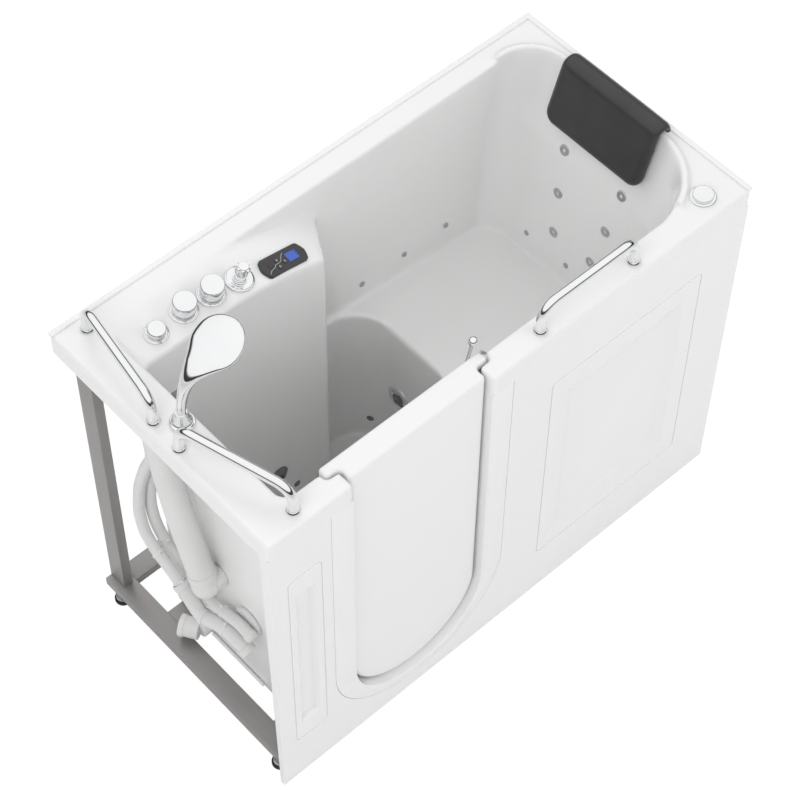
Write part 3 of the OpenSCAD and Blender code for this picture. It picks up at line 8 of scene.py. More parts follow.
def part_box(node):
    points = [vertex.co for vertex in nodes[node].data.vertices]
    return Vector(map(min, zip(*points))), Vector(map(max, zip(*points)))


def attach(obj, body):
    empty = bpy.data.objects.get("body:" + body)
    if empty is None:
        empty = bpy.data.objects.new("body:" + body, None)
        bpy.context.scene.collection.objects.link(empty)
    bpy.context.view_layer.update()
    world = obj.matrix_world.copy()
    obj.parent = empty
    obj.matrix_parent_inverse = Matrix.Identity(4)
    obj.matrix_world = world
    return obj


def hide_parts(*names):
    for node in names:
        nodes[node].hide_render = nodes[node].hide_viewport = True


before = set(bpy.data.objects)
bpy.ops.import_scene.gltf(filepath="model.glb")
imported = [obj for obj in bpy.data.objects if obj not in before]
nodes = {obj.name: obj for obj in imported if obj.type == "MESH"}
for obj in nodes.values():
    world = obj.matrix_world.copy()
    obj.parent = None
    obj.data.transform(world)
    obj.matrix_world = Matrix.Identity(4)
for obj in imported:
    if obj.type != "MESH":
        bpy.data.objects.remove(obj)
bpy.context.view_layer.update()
scene = bpy.context.scene

# the tub's own sizes in millimetres, counted from its front corner at the foot end
shellLow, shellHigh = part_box("tub_shell")
tub = {
    "length": (shellHigh[0] - shellLow[0]) * 1000,
    "width": (shellHigh[1] - shellLow[1]) * 1000,
    "height": 970,
    "wall": 6,
    "lip": 55,
    "footDeck": 92,
    "frontDeck": 62,
    "backDeck": 63,
    "headDeck": 50,
}


def at(x, y, z):
    return Vector((x / 1000 + shellLow[0], y / 1000 + shellLow[1], z / 1000))


def share(x, y):
    return at(x * tub["length"], y * tub["width"], tub["height"])


# camera, solved from the photograph
view = {
    "place": (-1373, -1844.6, 4688.7),
    "right": (0.74222, -0.67012, 0.00687),
    "down": (-0.54457, -0.60906, -0.57662),
    "forward": (0.39059, 0.42423, -0.81698),
    "lens": 107.23,
    "sensor": 36,
    "reach": 50,
}


def makeCamera():
    data = bpy.data.cameras.new("camera")
    data.lens = view["lens"]
    data.sensor_width = view["sensor"]
    camera = bpy.data.objects.new("camera", data)
    scene.collection.objects.link(camera)
    right, down, forward = (Vector(view[key]) for key in ("right", "down", "forward"))
    turn = Matrix((right, -down, -forward)).transposed().to_4x4()
    camera.matrix_world = Matrix.Translation(at(*view["place"])) @ turn
    data.clip_end = view["reach"]
    scene.camera = camera


makeCamera()
print("camera placed")


# node trees: sums and products of wires add their own Math nodes
class Wire:
    def __init__(self, sheet, socket):
        self.sheet = sheet
        self.socket = socket

    def maths(self, operation, first, second):
        return self.sheet.node("ShaderNodeMath", {"operation": operation}, {0: first, 1: second})

    def __add__(self, other):
        return self.maths("ADD", self, other)

    def __radd__(self, other):
        return self.maths("ADD", other, self)

    def __rmul__(self, other):
        return self.maths("MULTIPLY", other, self)


class Sheet:
    def __init__(self, tree):
        self.tree = tree

    def node(self, kind, settings=None, inputs=None, output=0):
        made = self.tree.nodes.new(kind)
        for name, value in (settings or {}).items():
            setattr(made, name, value)
        for key, value in (inputs or {}).items():
            self.plug(made.inputs[key], value)
        return Wire(self, made.outputs[output])

    def plug(self, socket, value):
        if isinstance(value, Wire):
            self.tree.links.new(value.socket, socket)
        else:
            socket.default_value = value

    def place(self, scale=(1, 1, 1)):
        spot = self.node("ShaderNodeTexCoord", output="Object")
        return self.node("ShaderNodeMapping", {}, {"Vector": spot, "Scale": scale})

    def noise(self, scale, detail=2, stretch=(1, 1, 1)):
        return self.node("ShaderNodeTexNoise", {}, {
            "Vector": self.place(stretch), "Scale": scale, "Detail": detail})

    def blend(self, factor, first, second):
        return self.node("ShaderNodeMix", {"data_type": "RGBA"}, {0: factor, 6: first, 7: second}, 2)

    def bump(self, height, distance, strength=0.5):
        return self.node("ShaderNodeBump", {}, {
            "Height": height, "Distance": distance, "Strength": strength})


def newFinish(name, build, **fixed):
    material = bpy.data.materials.new(name)
    material.use_nodes = True
    shader = material.node_tree.nodes["Principled BSDF"]
    for key, value in fixed.items():
        shader.inputs[key.replace("_", " ")].default_value = value
    sheet = Sheet(material.node_tree)
    for key, value in build(sheet).items():
        sheet.plug(shader.inputs[key.replace("_", " ")], value)
    return material


def acrylic(sheet):
    cloud = sheet.noise(2.4, 3)
    return {
        "Base_Color": sheet.blend(cloud, (0.855, 0.855, 0.852, 1), (0.885, 0.885, 0.882, 1)),
        "Roughness": 0.16 + 0.1 * sheet.noise(7, 3),
        "Normal": sheet.bump(sheet.noise(160, 1), 0.0003, 0.12)}


def chromed(sheet):
    return {
        "Base_Color": sheet.blend(sheet.noise(9), (0.83, 0.835, 0.845, 1), (0.9, 0.905, 0.91, 1)),
        "Roughness": 0.035 + 0.05 * sheet.noise(45, 3)}


def satinSteel(sheet):
    return {
        "Base_Color": sheet.blend(sheet.noise(30), (0.46, 0.46, 0.47, 1), (0.58, 0.58, 0.59, 1)),
        "Roughness": 0.24 + 0.16 * sheet.noise(60, 4),
        "Normal": sheet.bump(sheet.noise(420, 2), 0.0002, 0.2)}


def milledSteel(stretch):
    def build(sheet):
        streaks = sheet.noise(220, 4, stretch)
        patches = sheet.noise(5, 3)
        return {
            "Base_Color": sheet.blend(
                0.55 * streaks + 0.45 * patches, (0.27, 0.258, 0.254, 1), (0.4, 0.385, 0.38, 1)),
            "Roughness": 0.34 + 0.2 * streaks,
            "Normal": sheet.bump(streaks, 0.0003, 0.3)}
    return build


def rubber(dark, light):
    def build(sheet):
        return {
            "Base_Color": sheet.blend(sheet.noise(40, 4), dark, light),
            "Roughness": 0.55 + 0.2 * sheet.noise(80),
            "Normal": sheet.bump(sheet.noise(900, 2), 0.0002, 0.3)}
    return build


def foamSkin(sheet):
    pores = sheet.node("ShaderNodeTexVoronoi", {"feature": "F1"}, {
        "Vector": sheet.place(), "Scale": 620, "Randomness": 0.9}, "Distance")
    return {
        "Base_Color": sheet.blend(sheet.noise(18, 4), (0.026, 0.026, 0.027, 1), (0.044, 0.044, 0.046, 1)),
        "Roughness": 0.27 + 0.14 * sheet.noise(26, 3),
        "Normal": sheet.bump(pores, 0.0004, 0.25)}


def moulded(dark, light, rough):
    def build(sheet):
        return {
            "Base_Color": sheet.blend(sheet.noise(14, 3), dark, light),
            "Roughness": rough + 0.14 * sheet.noise(30, 3),
            "Normal": sheet.bump(sheet.noise(700, 2), 0.0002, 0.18)}
    return build


def castBrass(sheet):
    return {
        "Base_Color": sheet.blend(sheet.noise(25, 4), (0.33, 0.22, 0.09, 1), (0.55, 0.4, 0.17, 1)),
        "Roughness": 0.3 + 0.3 * sheet.noise(50, 4),
        "Normal": sheet.bump(sheet.noise(260, 3), 0.0006, 0.4)}


finishes = {
    "acrylic": newFinish("acrylic", acrylic, Coat_Weight=0.35, Coat_Roughness=0.06, IOR=1.49),
    "chrome": newFinish("chrome", chromed, Metallic=1.0),
    "satin": newFinish("satinSteel", satinSteel, Metallic=1.0),
    "steelX": newFinish("tubeSteelX", milledSteel((0.03, 1, 1)), Metallic=0.55),
    "steelY": newFinish("tubeSteelY", milledSteel((1, 0.03, 1)), Metallic=0.55),
    "steelZ": newFinish("tubeSteelZ", milledSteel((1, 1, 0.03)), Metallic=0.55),
    "blackRubber": newFinish("blackRubber", rubber((0.018, 0.018, 0.018, 1), (0.04, 0.04, 0.04, 1))),
    "greyRubber": newFinish("greyRubber", rubber((0.1, 0.1, 0.1, 1), (0.16, 0.16, 0.16, 1))),
    "foam": newFinish("foamSkin", foamSkin),
    "darkPlastic": newFinish("darkPlastic", moulded((0.03, 0.03, 0.032, 1), (0.05, 0.05, 0.053, 1), 0.3)),
    "greyPlastic": newFinish("greyPlastic", moulded((0.13, 0.13, 0.135, 1), (0.2, 0.2, 0.205, 1), 0.3)),
    "paleGrey": newFinish("paleGreyPlastic", moulded((0.36, 0.36, 0.365, 1), (0.44, 0.44, 0.445, 1), 0.3)),
    "whitePipe": newFinish("whitePipe", moulded((0.72, 0.72, 0.715, 1), (0.78, 0.78, 0.775, 1), 0.34)),
    "whiteHose": newFinish("whiteHose", moulded((0.7, 0.7, 0.695, 1), (0.77, 0.77, 0.765, 1), 0.42)),
    "brass": newFinish("castBrass", castBrass, Metallic=1.0),
    "screenGlass": newFinish("screenGlass", moulded((0.03, 0.07, 0.3, 1), (0.05, 0.1, 0.4, 1), 0.08),
                             Emission_Color=(0.06, 0.12, 0.5, 1), Emission_Strength=0.35),
    "paleMark": newFinish("paleMark", moulded((0.5, 0.52, 0.56, 1), (0.62, 0.64, 0.68, 1), 0.3)),
    "redMark": newFinish("redMark", moulded((0.2, 0.02, 0.02, 1), (0.28, 0.03, 0.03, 1), 0.3)),
}
print("finishes made")

# making and keeping pieces: angles in degrees, welding distances in metres
limits = {
    "crease": 38,
    "sharp": 28,
    "flat": 0.6,
    "weld": 2e-6,
    "fineWeld": 1e-6,
}
moveTo = Matrix.Translation


def newObject(name, data):
    made = bpy.data.objects.new(name, data)
    scene.collection.objects.link(made)
    return made


def rough(bm, name):
    mesh = bpy.data.meshes.new(name)
    bm.to_mesh(mesh)
    bm.free()
    return newObject(name, mesh)


def scrap(*objects):
    for thing in objects:
        data = thing.data
        bpy.data.objects.remove(thing)
        if data.users == 0:
            (bpy.data.curves if isinstance(data, bpy.types.Curve) else bpy.data.meshes).remove(data)


def baked(source):
    bpy.context.view_layer.update()
    depsgraph = bpy.context.evaluated_depsgraph_get()
    mesh = bpy.data.meshes.new_from_object(source.evaluated_get(depsgraph))
    bm = bmesh.new()
    bm.from_mesh(mesh)
    bpy.data.meshes.remove(mesh)
    scrap(source)
    return bm


def carved(block, tools):
    for tool, operation in tools:
        cut = block.modifiers.new(operation, "BOOLEAN")
        cut.operation = operation
        cut.solver = "EXACT"
        cut.object = tool
    bm = baked(block)
    scrap(*[tool for tool, operation in tools])
    return bm


def addTo(bm, other, place=None):
    if place is not None:
        other.transform(place)
    mesh = bpy.data.meshes.new("added")
    other.to_mesh(mesh)
    other.free()
    bm.from_mesh(mesh)
    bpy.data.meshes.remove(mesh)


def keep(bm, name, body, finish, stands=(), crease=limits["crease"], turnOut=True):
    if turnOut:
        bmesh.ops.recalc_face_normals(bm, faces=bm.faces)
    piece = rough(bm, name)
    piece.data.shade_smooth()
    piece.data.set_sharp_from_angle(angle=radians(crease))
    piece.data.materials.append(finishes[finish])
    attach(piece, body)
    if stands:
        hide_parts(*stands)
    return piece


def arc(centre, radius, start, end, steps=8):
    turns = [radians(start + (end - start) * i / steps) for i in range(steps + 1)]
    return [(centre[0] + radius * cos(t), centre[1] + radius * sin(t)) for t in turns]


def soften(points, reach, steps=4):
    soft = [Vector(points[0])]
    for a, b, c in zip(points, points[1:], points[2:]):
        a, b, c = Vector(a), Vector(b), Vector(c)
        size = min(reach, (a - b).length * 0.48, (c - b).length * 0.48)
        start, end = b + (a - b).normalized() * size, b + (c - b).normalized() * size
        for i in range(steps + 1):
            t = i / steps
            soft.append(start * (1 - t) ** 2 + b * 2 * t * (1 - t) + end * t * t)
    soft.append(Vector(points[-1]))
    return soft


def welded(bm, dist):
    bmesh.ops.remove_doubles(bm, verts=bm.verts, dist=dist)


def eased(bm, found, size, segments, clamp=False):
    bmesh.ops.bevel(bm, geom=found, offset=size / 1000, offset_type="OFFSET", segments=segments,
                    profile=0.5, affect="EDGES", clamp_overlap=clamp, material=-1)


def prism(points, low, high, axis="z"):
    def spot(p, d):
        return at(p[0], d, p[1]) if axis == "y" else at(p[0], p[1], d)

    bm = bmesh.new()
    face = bm.faces.new([bm.verts.new(spot(p, low)) for p in points])
    grown = bmesh.ops.extrude_face_region(bm, geom=[face])["geom"]
    push = spot((0, 0), high) - spot((0, 0), low)
    bmesh.ops.translate(bm, vec=push, verts=[v for v in grown if isinstance(v, bmesh.types.BMVert)])
    bmesh.ops.recalc_face_normals(bm, faces=bm.faces)
    return bm


def sliced(bm, point, away):
    found = bmesh.ops.bisect_plane(
        bm, geom=bm.verts[:] + bm.edges[:] + bm.faces[:], plane_co=point, plane_no=away,
        clear_outer=True)["geom_cut"]
    bmesh.ops.holes_fill(bm, edges=[e for e in found if isinstance(e, bmesh.types.BMEdge)])
    welded(bm, limits["weld"])
    bmesh.ops.dissolve_degenerate(bm, edges=bm.edges, dist=limits["weld"])
    bmesh.ops.recalc_face_normals(bm, faces=bm.faces)
    return bm


def turned(outline, steps=64):
    bm = bmesh.new()
    verts = [bm.verts.new((radius / 1000, 0, height / 1000)) for radius, height in outline]
    edges = [bm.edges.new(pair) for pair in zip(verts, verts[1:])]
    bmesh.ops.spin(bm, geom=verts + edges, cent=(0, 0, 0), axis=(0, 0, 1), angle=2 * pi,
                   steps=steps, use_merge=True)
    welded(bm, limits["fineWeld"])
    bmesh.ops.recalc_face_normals(bm, faces=bm.faces)
    return bm


def lofted(rings, closed=True):
    bm = bmesh.new()
    loops = []
    for ring in rings:
        verts = [bm.verts.new(p) for p in ring]
        after = verts[1:] + verts[:1] if closed else verts[1:]
        loops.append([bm.edges.new(pair) for pair in zip(verts, after)])
    for first, second in zip(loops, loops[1:]):
        bmesh.ops.bridge_loops(bm, edges=first + second)
    if closed:
        for loop in (loops[0], loops[-1]):
            bmesh.ops.edgeloop_fill(bm, edges=loop)
    bmesh.ops.recalc_face_normals(bm, faces=bm.faces)
    return bm


def tube(way, radius, sides=6):
    data = bpy.data.curves.new("way", "CURVE")
    data.dimensions = "3D"
    data.bevel_depth = radius / 1000
    data.bevel_resolution = sides
    data.use_fill_caps = True
    spline = data.splines.new("POLY")
    spline.points.add(len(way) - 1)
    for point, place in zip(spline.points, way):
        point.co = (*place, 1)
    bm = baked(newObject("run", data))
    welded(bm, limits["fineWeld"])
    return bm


def flowing(points, steps=6):
    points = [Vector(p) for p in points]
    last = len(points) - 1
    way = []
    for i in range(last):
        a, b, c, d = points[max(i - 1, 0)], points[i], points[i + 1], points[min(i + 2, last)]
        for k in range(steps):
            t = k / steps
            way.append((2 * b + (c - a) * t + (2 * a - 5 * b + 4 * c - d) * t ** 2
                        + (3 * b - a - 3 * c + d) * t ** 3) / 2)
    return way + [points[last]]


def cast(node, edge, segments=2):
    bm = bmesh.new()
    bm.from_mesh(nodes[node].data)
    welded(bm, limits["weld"])
    bmesh.ops.dissolve_limit(bm, angle_limit=radians(limits["flat"]), verts=bm.verts, edges=bm.edges)
    sharp = radians(limits["sharp"])
    eased(bm, [e for e in bm.edges if len(e.link_faces) == 2 and e.calc_face_angle() > sharp],
          edge, segments, True)
    return bm


def camel(name):
    first, *rest = name.split("_")
    return first + "".join(word.capitalize() for word in rest)


def dressed(node, body, finish, edge, segments=2, crease=limits["crease"]):
    return keep(cast(node, edge, segments), camel(node), body, finish, (node,), crease, False)


# hoses and pipes at the foot end, with their collars and ties at shares of the run
plumbing = {
    "outerHose": {
        "node": "hose_outer", "slot": "white_hose", "finish": "whiteHose", "radius": 13,
        "collars": [], "ties": [0.78, 0.97],
        "route": [(60, 450, 963.2), (60, 450, 930), (56, 446, 850), (50, 428, 757), (49, 447, 700),
                  (49, 462, 660), (49.5, 487, 580), (50, 500, 510), (48.5, 503, 455), (46, 487, 400),
                  (44, 448, 371), (43, 410, 356), (43.4, 391, 344), (44.6, 373, 328.6)]},
    "innerHose": {
        "node": "hose_inner", "slot": "white_hose", "finish": "whiteHose", "radius": 13,
        "collars": [(0.985, 14, 2.2), (0.8, 10, 2.2)], "ties": [0.55, 0.88],
        "route": [(70, 480, 963.2), (70, 480, 930), (72, 470, 850), (74, 455, 757), (75.5, 446, 700),
                  (76.5, 452, 660), (77, 481, 585), (77.3, 497, 512), (77, 499, 450), (76.5, 487, 400),
                  (76.5, 460, 362), (77, 428, 338), (77.5, 393, 311), (77.5, 356, 293), (77, 330, 297),
                  (75, 305, 303), (72, 256, 324), (71, 212, 340), (72, 166, 333)]},
    "branchHose": {
        "node": "air_manifold", "slot": "white_pipe", "finish": "whiteHose", "radius": 17,
        "collars": [(0.02, 14, 2.2), (0.5, 12, 2.2), (0.97, 16, 2.2)], "ties": [0.74],
        "route": [(44.6, 372.8, 328.4), (45.8, 355, 313), (46.8, 334, 289), (49, 307, 273),
                  (56, 261, 290), (61, 224, 288), (66, 178, 269)]},
    "wastePipe": {
        "node": "waste_pipe", "slot": "white_pipe", "finish": "whitePipe", "radius": 30,
        "collars": [(0.9375, 16, 2.5)], "ties": [],
        "route": [(50, 400, 963.2), (50, 400, 930), (50, 396, 850), (50, 383, 757), (50, 370, 696),
                  (50, 354, 629), (52, 337, 562), (55, 319, 486), (57, 298, 412)]},
}
pipeParts = {
    "steps": 10,
    "sides": 8,
    "elbow": [(0, -31), (20, -29), (31, -12), (31.5, 6), (28, 9), (28, 37)],
    "elbowBend": 12,
    "collarEdge": 1.2,
    "tieRise": 1.6,
    "tieWidth": 7,
    "headSize": 7,
    "headOut": 3,
    "headEdge": 1.2,
}


def alongWay(way, portion):
    i = min(int(portion * (len(way) - 1)), len(way) - 2)
    return way[i], (way[i + 1] - way[i]).normalized()


def aimed(place, along):
    return moveTo(place) @ along.to_track_quat("Z", "Y").to_matrix().to_4x4()


def collar(place, along, radius, width, rise):
    ring = turned(soften([(radius - 1, -width / 2), (radius + rise, -width / 2),
                          (radius + rise, width / 2), (radius - 1, width / 2)], pipeParts["collarEdge"]), 40)
    ring.transform(aimed(place, along))
    return ring


def makePlumbing():
    ties = bmesh.new()
    for name, run in plumbing.items():
        way = flowing([at(*p) for p in run["route"]], pipeParts["steps"])
        radius = run["radius"]
        bm = tube(way, radius, pipeParts["sides"])
        if name == "wastePipe":
            elbow = turned(soften(pipeParts["elbow"], pipeParts["elbowBend"]), 48)
            addTo(bm, elbow, aimed(way[-1], Vector((1, 0, 0))))
        for portion, width, rise in run["collars"]:
            addTo(bm, collar(*alongWay(way, portion), radius, width, rise))
        keep(bm, name, "tub", run["finish"], (run["node"],))
        for portion in run["ties"]:
            place, along = alongWay(way, portion)
            addTo(ties, collar(place, along, radius, pipeParts["tieWidth"], pipeParts["tieRise"]))
            head = bmesh.new()
            bmesh.ops.create_cube(head, size=pipeParts["headSize"] / 1000)
            side = along.cross(Vector((1, 0, 0))).normalized()
            head.transform(moveTo(place + side * (radius + pipeParts["headOut"]) / 1000))
            eased(head, head.edges[:], pipeParts["headEdge"], 2)
            addTo(ties, head)
    keep(ties, "hoseTies", "tub", "whitePipe")
    dressed("pipe_fittings", "tub", "whitePipe", 1.5, 3)


makePlumbing()
print("plumbing run")

# moulded shell: the spaces of the basin, then the mould that cuts and thins it
basin = {
    "floor": 68,
    "footDraft": 13,
    "backDraft": 24,
    "wellCorner": 22,
    "headFront": 165,
    "headBack": 85,
    "upperRecline": 19.4,
    "lowerRecline": 10,
    "reclineBreak": 170,
    "bayOverlap": 20,
    "apart": 0.37,
    "seatHeight": 525,
    "seatFall": 5.2,
    "seatFront": 635,
    "overlap": 99,
    "cutLow": 100,
    "recess": 734,
    "recessLow": 245,
    "recessHigh": 575,
    "recessCorner": 92,
    "ledgeDepth": 109,
    "ledgeFall": 12,
    "ledgeFlat": 300,
    "ledgeRadius": 660,
    "ledgeTurn": 35,
    "ledgeFront": 562,
    "ledgeBack": 628,
    "ledgeOut": 20,
    "ledgeShort": 4,
    "headroom": 200,
    "acrossLow": 400,
    "acrossHigh": 60,
}
mould = {
    "lipRise": 0.3,
    "lipSpare": 22,
    "wallLow": 20,
    "wallJoin": 5,
    "bead": 18,
    "beadFoot": 1145,
    "beadJoin": 5,
    "beadSunk": 5,
    "beadHigh": 15,
    "voxel": 5.0,
    "smoothing": 14,
    "smoothShare": 0.5,
    "hiddenSide": 3,
    "hiddenFront": 2.5,
    "hiddenLow": 45,
    "hiddenFall": -0.6,
    "triangles": 92000,
    "crease": 60,
}
doorWay = {
    "middle": 391,
    "arcHeight": 254,
    "opening": 180,
    "rebate": 212,
    "jamb": 42,
    "over": 60,
    "outside": -20,
    "below": -100,
    "inside": 1,
}
edges = {
    "foot": tub["footDeck"],
    "front": tub["frontDeck"],
    "back": tub["width"] - tub["backDeck"],
    "head": tub["length"] - tub["headDeck"],
    "valve": tub["width"] - tub["backDeck"] - basin["ledgeDepth"],
}


def uOutline(half):
    middle, top = doorWay["middle"], tub["height"] + doorWay["over"]
    bend = arc((middle, doorWay["arcHeight"]), half, 0, -180, 48)
    return [(middle + half, top)] + bend + [(middle - half, top)]


def headOutline(grow=0.0):
    head, front, back = edges["head"], edges["front"], edges["back"]
    fore, rear = basin["headFront"], basin["headBack"]
    return (arc((head - fore, front + fore), fore + grow, -90, 0, 24)
            + arc((head - rear, back - rear), rear + grow, 0, 90, 24))


def basinParts():
    height = tub["height"]
    top, drop = height + doorWay["over"], height - basin["floor"]
    foot, front, back, head, valve = (edges[k] for k in ("foot", "front", "back", "head", "valve"))
    corner, recess, r = basin["wellCorner"], basin["recess"], basin["recessCorner"]
    low, high = basin["recessLow"], basin["recessHigh"]
    seatFront, overlap, cutLow = basin["seatFront"], basin["overlap"], basin["cutLow"]
    slope = (basin["ledgeBack"] - basin["ledgeFront"]) / basin["ledgeDepth"]

    def oblique(y):
        return basin["ledgeFront"] + (y - valve) * slope

    well = (arc((foot + corner, front + corner), corner, 180, 270) + [(seatFront, front), (seatFront, low)]
            + arc((recess - r, low + r), r, -90, 0, 12) + arc((recess - r, high - r), r, 0, 90, 12)
            + [(oblique(high), high), (oblique(valve), valve)]
            + arc((foot + corner, valve - corner), corner, 90, 180))
    body = [(seatFront - overlap, front), (recess + overlap, front), (recess + overlap, back),
            (oblique(back), back), (oblique(valve), valve), (seatFront - overlap, valve)]
    # small steps keep the cuts from sharing a plane
    step = basin["apart"]
    seatPoint = at(seatFront, 0, basin["seatHeight"])
    fall = radians(basin["seatFall"])
    seatAway = Vector((-sin(fall), 0, -cos(fall)))
    parts = [prism(well, basin["floor"], top), sliced(prism(body, cutLow, top), seatPoint, seatAway)]
    breakX = head - basin["reclineBreak"] * tan(radians(basin["upperRecline"]))
    breakZ = height - basin["reclineBreak"]
    bay = headOutline() + [(recess, back), (recess, front)]
    for turn, (angle, x, z, z0, z1) in enumerate((
            (basin["upperRecline"], head, height, breakZ, top),
            (basin["lowerRecline"], breakX, breakZ, cutLow, breakZ + basin["bayOverlap"]))):
        lean = tan(radians(angle))
        piece = prism(bay, z0, z1)
        # lean the upright prism about its given height
        for vert in piece.verts:
            vert.co.x += (vert.co.z * 1000 - z) * lean / 1000 + (x - head) / 1000
        shift = Vector((0, step, step)) * (turn + 1) / 1000
        bmesh.ops.translate(piece, vec=shift, verts=piece.verts)
        parts.append(sliced(piece, seatPoint - shift, seatAway))
    radius, roof = basin["ledgeRadius"], height + basin["headroom"]
    ledge = ([(0, roof), (0, height)]
             + arc((basin["ledgeFlat"], height - radius), radius, 90, 90 - basin["ledgeTurn"], 24)
             + [(tub["length"], roof)])
    space = prism(ledge, back - basin["acrossLow"], back + basin["acrossHigh"], "y")
    pivot = at(0, back, height)
    space.transform(moveTo(pivot) @ Matrix.Rotation(radians(basin["ledgeFall"]), 4, "X") @ moveTo(-pivot))
    for point, away in ((at(0, valve - basin["ledgeOut"], 0), (0, -1, 0)),
                        (at(recess - basin["ledgeShort"], 0, 0), (1, 0, 0)), (at(0, 0, top), (0, 0, 1))):
        space = sliced(space, point, Vector(away))
    parts.append(space)
    footAway = Vector((-1, 0, -basin["footDraft"] / drop))
    backAway = Vector((0, 1, -basin["backDraft"] / drop))
    cuts = []
    for i, part in enumerate(parts):
        sliced(part, at(foot - i * step, 0, height), footAway)
        cuts.append(sliced(part, at(0, back + i * step, height), backAway))
    return cuts


def makeShell():
    length, width, height = tub["length"], tub["width"], tub["height"]
    front, back = edges["front"], edges["back"]
    lipEdge = height - tub["lip"] + mould["lipRise"]
    lipLow = lipEdge - mould["lipSpare"]
    tray = prism([(0, 0), (length, 0), (length, width), (0, width)], lipLow, height)
    inner = front - tub["wall"]
    lower = prism([(0, inner), (length, inner), (length, width), (0, width)],
                  mould["wallLow"], lipLow + mould["wallJoin"])
    beadFrom = mould["beadFoot"] - mould["beadJoin"]
    bead = prism(headOutline(mould["bead"]) + [(beadFrom, back), (beadFrom, front)],
                 height - mould["beadSunk"], height + mould["beadHigh"])
    sliced(bead, at(mould["beadFoot"], 0, 0), Vector((-1, 0, 0)))
    tools = [(rough(lower, "lower"), "UNION"), (rough(bead, "bead"), "UNION")]
    tools += [(rough(part, "space"), "DIFFERENCE") for part in basinParts()]
    for half, y0, floor in ((doorWay["opening"], doorWay["outside"], doorWay["below"]),
                            (doorWay["rebate"], doorWay["jamb"], basin["floor"])):
        slab = prism(uOutline(half), y0, front + doorWay["inside"], "y")
        sliced(slab, at(0, 0, floor), Vector((0, 0, -1)))
        tools.append((rough(slab, "way"), "DIFFERENCE"))
    solid = rough(carved(rough(tray, "block"), tools), "solid")
    net = solid.modifiers.new("net", "REMESH")
    net.mode = "VOXEL"
    net.voxel_size = mould["voxel"] / 1000
    ease = solid.modifiers.new("ease", "SMOOTH")
    ease.factor = mould["smoothShare"]
    ease.iterations = mould["smoothing"]
    bm = baked(solid)
    bmesh.ops.bisect_plane(bm, geom=bm.verts[:] + bm.edges[:] + bm.faces[:],
                           plane_co=at(0, 0, lipEdge), plane_no=(0, 0, 1))
    # drop the faces that the frame, the skirt and the lip hide
    low = at(mould["hiddenSide"], front - mould["hiddenFront"], mould["hiddenLow"])
    high = at(length - mould["hiddenSide"], width - mould["hiddenSide"], lipEdge)
    hidden = []
    for face in bm.faces:
        spot = face.calc_center_median()
        outside = spot.x < low.x or spot.x > high.x or spot.y > high.y or spot.y < low.y
        if spot.z < low.z or (outside and (spot.z < high.z or face.normal.z < mould["hiddenFall"])):
            hidden.append(face)
    bmesh.ops.delete(bm, geom=hidden, context="FACES")
    print("shell faces", len(bm.faces))
    skin = rough(bm, "skin")
    thin = skin.modifiers.new("thin", "DECIMATE")
    thin.ratio = min(1.0, mould["triangles"] / (2 * len(skin.data.polygons)))
    wall = skin.modifiers.new("wall", "SOLIDIFY")
    wall.thickness = (tub["wall"] - 1) / 1000
    wall.offset = -1
    keep(baked(skin), "tubShell", "tub", "acrylic", ("tub_shell",), mould["crease"], False)


makeShell()
print("shell moulded")

# the narrow raised edge along the back and the head end
upstand = {
    "rim": 12,
    "rise": 4,
    "sunk": 3,
    "edge": 1.2,
}


def makeUpstand():
    length, width, height, rim = tub["length"], tub["width"], tub["height"], upstand["rim"]
    bm = prism([(0, width - rim), (length - rim, width - rim), (length - rim, 0), (length, 0),
                (length, width), (0, width)], height - upstand["sunk"], height + upstand["rise"])
    eased(bm, bm.edges[:], upstand["edge"], 3)
    keep(bm, "tileUpstand", "tub", "acrylic")


makeUpstand()
print("upstand laid")

# door leaf: half of its plan and its rounded top
leaf = {
    "front": 16,
    "back": 73,
    "plug": 174.5,
    "ear": 207,
    "plugEdge": 9,
    "earEdge": 7,
    "earFront": 48,
    "flat": 40,
    "spare": 4,
    "neck": [(0, 36), (0.6, 40), (2.2, 43.4), (5, 46), (9, 47.6)],
    "neckOut": 14,
    "top": 969.2,
    "topEdge": 7,
    "bottom": 72,
    "crease": 50,
    "sealTop": 950,
    "sealEdge": 0.8,
}


def leafOutline():
    # from the middle: front face, rounded plug, hollow neck, rounded ear and back face
    plug, ear, front, back = (leaf[k] for k in ("plug", "ear", "front", "back"))
    r, q, flat, earFront = leaf["plugEdge"], leaf["earEdge"], leaf["flat"], leaf["earFront"]
    return ([(0, front), (plug - flat, front), (plug - r - leaf["spare"], front)]
            + arc((plug - r, front + r), r, -90, 0, 7) + [(plug + h, y) for h, y in leaf["neck"]]
            + [(plug + leaf["neckOut"], earFront), (ear - q - leaf["spare"], earFront)]
            + arc((ear - q, earFront + q), q, -90, 0, 6) + arc((ear - q, back - q), q, 0, 90, 6)
            + [(plug - flat, back), (0, back)])


def inset(outline, amount):
    made = []
    for i, (h, y) in enumerate(outline):
        a, b = outline[max(i - 1, 0)], outline[min(i + 1, len(outline) - 1)]
        dh, dy = b[0] - a[0], b[1] - a[1]
        size = hypot(dh, dy)
        made.append((max(0.0, h - amount * dy / size) if h else 0.0, y + amount * dh / size))
    return made


